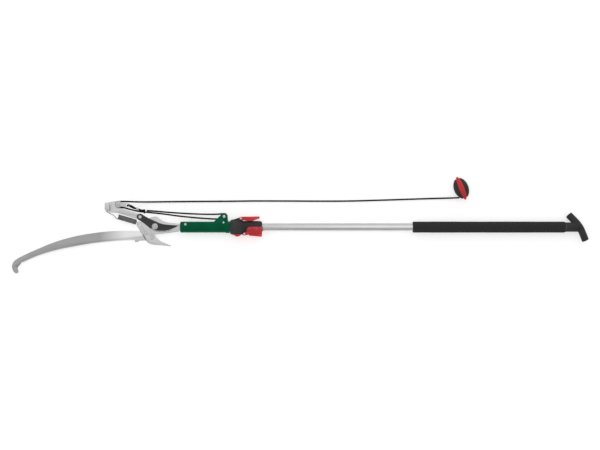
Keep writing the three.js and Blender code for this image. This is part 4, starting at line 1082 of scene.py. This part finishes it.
spring = grown(
    in_scene("wound_spring", spring_mesh),
    spring_tree(),
    Turns=(COIL_LENGTH - 2 * WIRE) / (2 * WIRE),
    Coil_radius=COIL / 1000,
    Length=(COIL_LENGTH - 2 * WIRE) / 1000,
    Wire_radius=WIRE / 1000,
    Place=tuple(at(*(COIL_FROM + COIL_WAY * WIRE))),
    Lean=tuple(COIL_WAY.to_track_quat("Z", "Y").to_euler()),
    Finish=SPRING_WIRE,
)
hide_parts("return_spring")
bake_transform(spring)
print("spring", len(spring.data.polygons), "faces")

# %% [markdown]
# ## The knot
# The dead end goes through the becket, back through a steel crimp and into a stopper knot. The knot is a
# trefoil, the simplest real knot, pulled small, and the eye is one more rope tube round its own route.

# %% Knot, eye and tail
KNOT = Vector((-32.5, 49.2, 12.8))
EYE_ROUTE = [
    tuple(KNOT), (-46, 52.6, 12.9), (-57, 56.6, 13.2), (-68, 62.8, 14), (-78, 66.4, 14.4), (-81.4, 65, 12.6),
    (-81.4, 64.8, 7.2), (-74, 61.4, 7.6), (-64, 57, 9.2), (-55, 54.6, 10), (-44, 51, 10.8), tuple(KNOT),
]
KNOT_STEPS, KNOT_WIDE, KNOT_HIGH, KNOT_DEEP, KNOT_STEP = 96, 3.7, 3.1, 2.0, 0.0008
trefoil = []
for i in range(KNOT_STEPS + 1):
    a = 2 * math.pi * i / KNOT_STEPS
    x = (math.sin(a) + 2 * math.sin(2 * a)) / 3
    y = (math.cos(a) - 2 * math.cos(2 * a)) / 3
    trefoil.append(tuple(KNOT + Vector((x * KNOT_WIDE, y * KNOT_HIGH, -math.sin(3 * a) * KNOT_DEEP))))
TAIL_ROUTE = [tuple(KNOT), (-31, 44.5, 13), (-29.2, 41.6, 13.3)]
parts = [
    tube("knot_body", smooth_line(trefoil, KNOT_STEP)[0], 0.0019),
    tube("knot_eye", smooth_line(EYE_ROUTE, ROPE_STEP)[0], 0.0021),
    tube("knot_tail", smooth_line(TAIL_ROUTE, ROPE_STEP)[0], ROPE_RADIUS),
]
joined = dict(active_object=parts[0], selected_editable_objects=parts, selected_objects=parts)
with bpy.context.temp_override(**joined):
    bpy.ops.object.join()
knot = parts[0]
stand_in(knot, ROPE, "rope_knot")
knot.name = "rope_eye_and_knot"
print("knot", len(knot.data.polygons), "faces")

# %% [markdown]
# ## Pull handle
# A red core with an oval outline, thick in the middle and thin at its rim, with the rope wound between its
# rim and two black half grips. Each is a lens, so it is a spun profile stretched to an oval and turned to
# lie as the handle lies. The grips carry shallow ridges for the fingers.

# %% Lens pieces
HANDLE_MIDDLE = Vector((919, 116.5, -4))
HANDLE_TURN = math.radians(-68.3)


def lens(name, length, height, profile, end, seat=0.0, seat_end=1.0, ridges=0, ridge=0.0):
    """A disc of (share of the radius, distance out in mm), stretched to an oval and thinned at its two ends.

    What lies no further out than the seat is thinned to the share seat_end, the rest to the share end.
    """
    sides = 96
    verts, rings = [], []
    for share, out in profile:
        first = len(verts)
        for j in range(sides if share > 0 else 1):
            a = 2 * math.pi * j / sides
            long_way = share * math.cos(a)
            left = seat_end if abs(out) <= seat else end
            thin = left + (1 - left) * math.cos(long_way * math.pi / 2)
            ripple = 0.5 + 0.5 * math.cos(ridges * long_way * math.pi)
            wave = 1 - ridge * ripple if 0.2 < share < 0.97 else 1
            verts.append((long_way * length / 2, out * thin * wave, share * math.sin(a) * height / 2))
        rings.append(range(first, len(verts)))
    turn = Matrix.Rotation(HANDLE_TURN, 3, "Z")
    mesh = bpy.data.meshes.new(name)
    mesh.from_pydata([tuple(at(*(HANDLE_MIDDLE + turn @ Vector(v)))) for v in verts], [], skin(rings))
    return settled(facing_out(in_scene(name, mesh)), 40)


CORE_LONG, CORE_HIGH, CORE_HALF, CORE_END = 74, 36, 8.5, 0.42
CORE_PROFILE = [
    (0.3, 1.0), (0.62, 1.0), (0.76, 0.99), (0.84, 0.96), (0.90, 0.90), (0.94, 0.82), (0.97, 0.70),
    (0.99, 0.52), (0.985, 0.28), (0.975, 0.1),
]
half_core = [(share, out * CORE_HALF) for share, out in CORE_PROFILE]
core = [(0, -CORE_HALF), *[(share, -out) for share, out in half_core], *reversed(half_core), (0, CORE_HALF)]
stand_in(lens("red_handle_core", CORE_LONG, CORE_HIGH, core, CORE_END), RED, "pull_handle_core")
GRIP_LONG, GRIP_HIGH, GRIP_END, GRIP_OUT = 63, 28, 0.75, 22.2
GRIP_INNER = CORE_HALF + 0.3
GRIP_RIM = [(0, 0), (0.5, 0), (0.8, 0), (0.96, 0.1), (0.985, 0.5)]  # share of the radius, mm out
DOME_STEPS, DOME_FOOT = 14, 6.5
for node, name, side in (
    ("pull_handle_grip_left", "black_grip_left", -1),
    ("pull_handle_grip_right", "black_grip_right", 1),
):
    dome = [(share, side * (GRIP_INNER + out)) for share, out in GRIP_RIM]
    for i in range(2, DOME_STEPS + 1):
        t = i / DOME_STEPS * math.pi / 2
        share = 0 if i == DOME_STEPS else math.cos(t) ** 0.7
        dome.append((share * 0.99, side * (DOME_FOOT + (GRIP_OUT - DOME_FOOT) * math.sin(t))))
    grip = lens(
        name, GRIP_LONG, GRIP_HIGH, dome, GRIP_END,
        seat=GRIP_INNER + 0.2, seat_end=CORE_END, ridges=15, ridge=0.012,
    )
    stand_in(grip, BLACK, node)
    print(name, len(grip.data.polygons), "faces")

# %% [markdown]
# ## What is left of the CAD
# A node whose shape is already right stays, with a better finish. Only the nylon guide inside the outer tube
# is left: it shows when the pole is pulled apart.

# %% Carried-over nodes
guide = frame["nodes"]["inner_tube_guide"].data
guide.materials.clear()
guide.materials.append(BLACK)
print("carried over: inner_tube_guide")
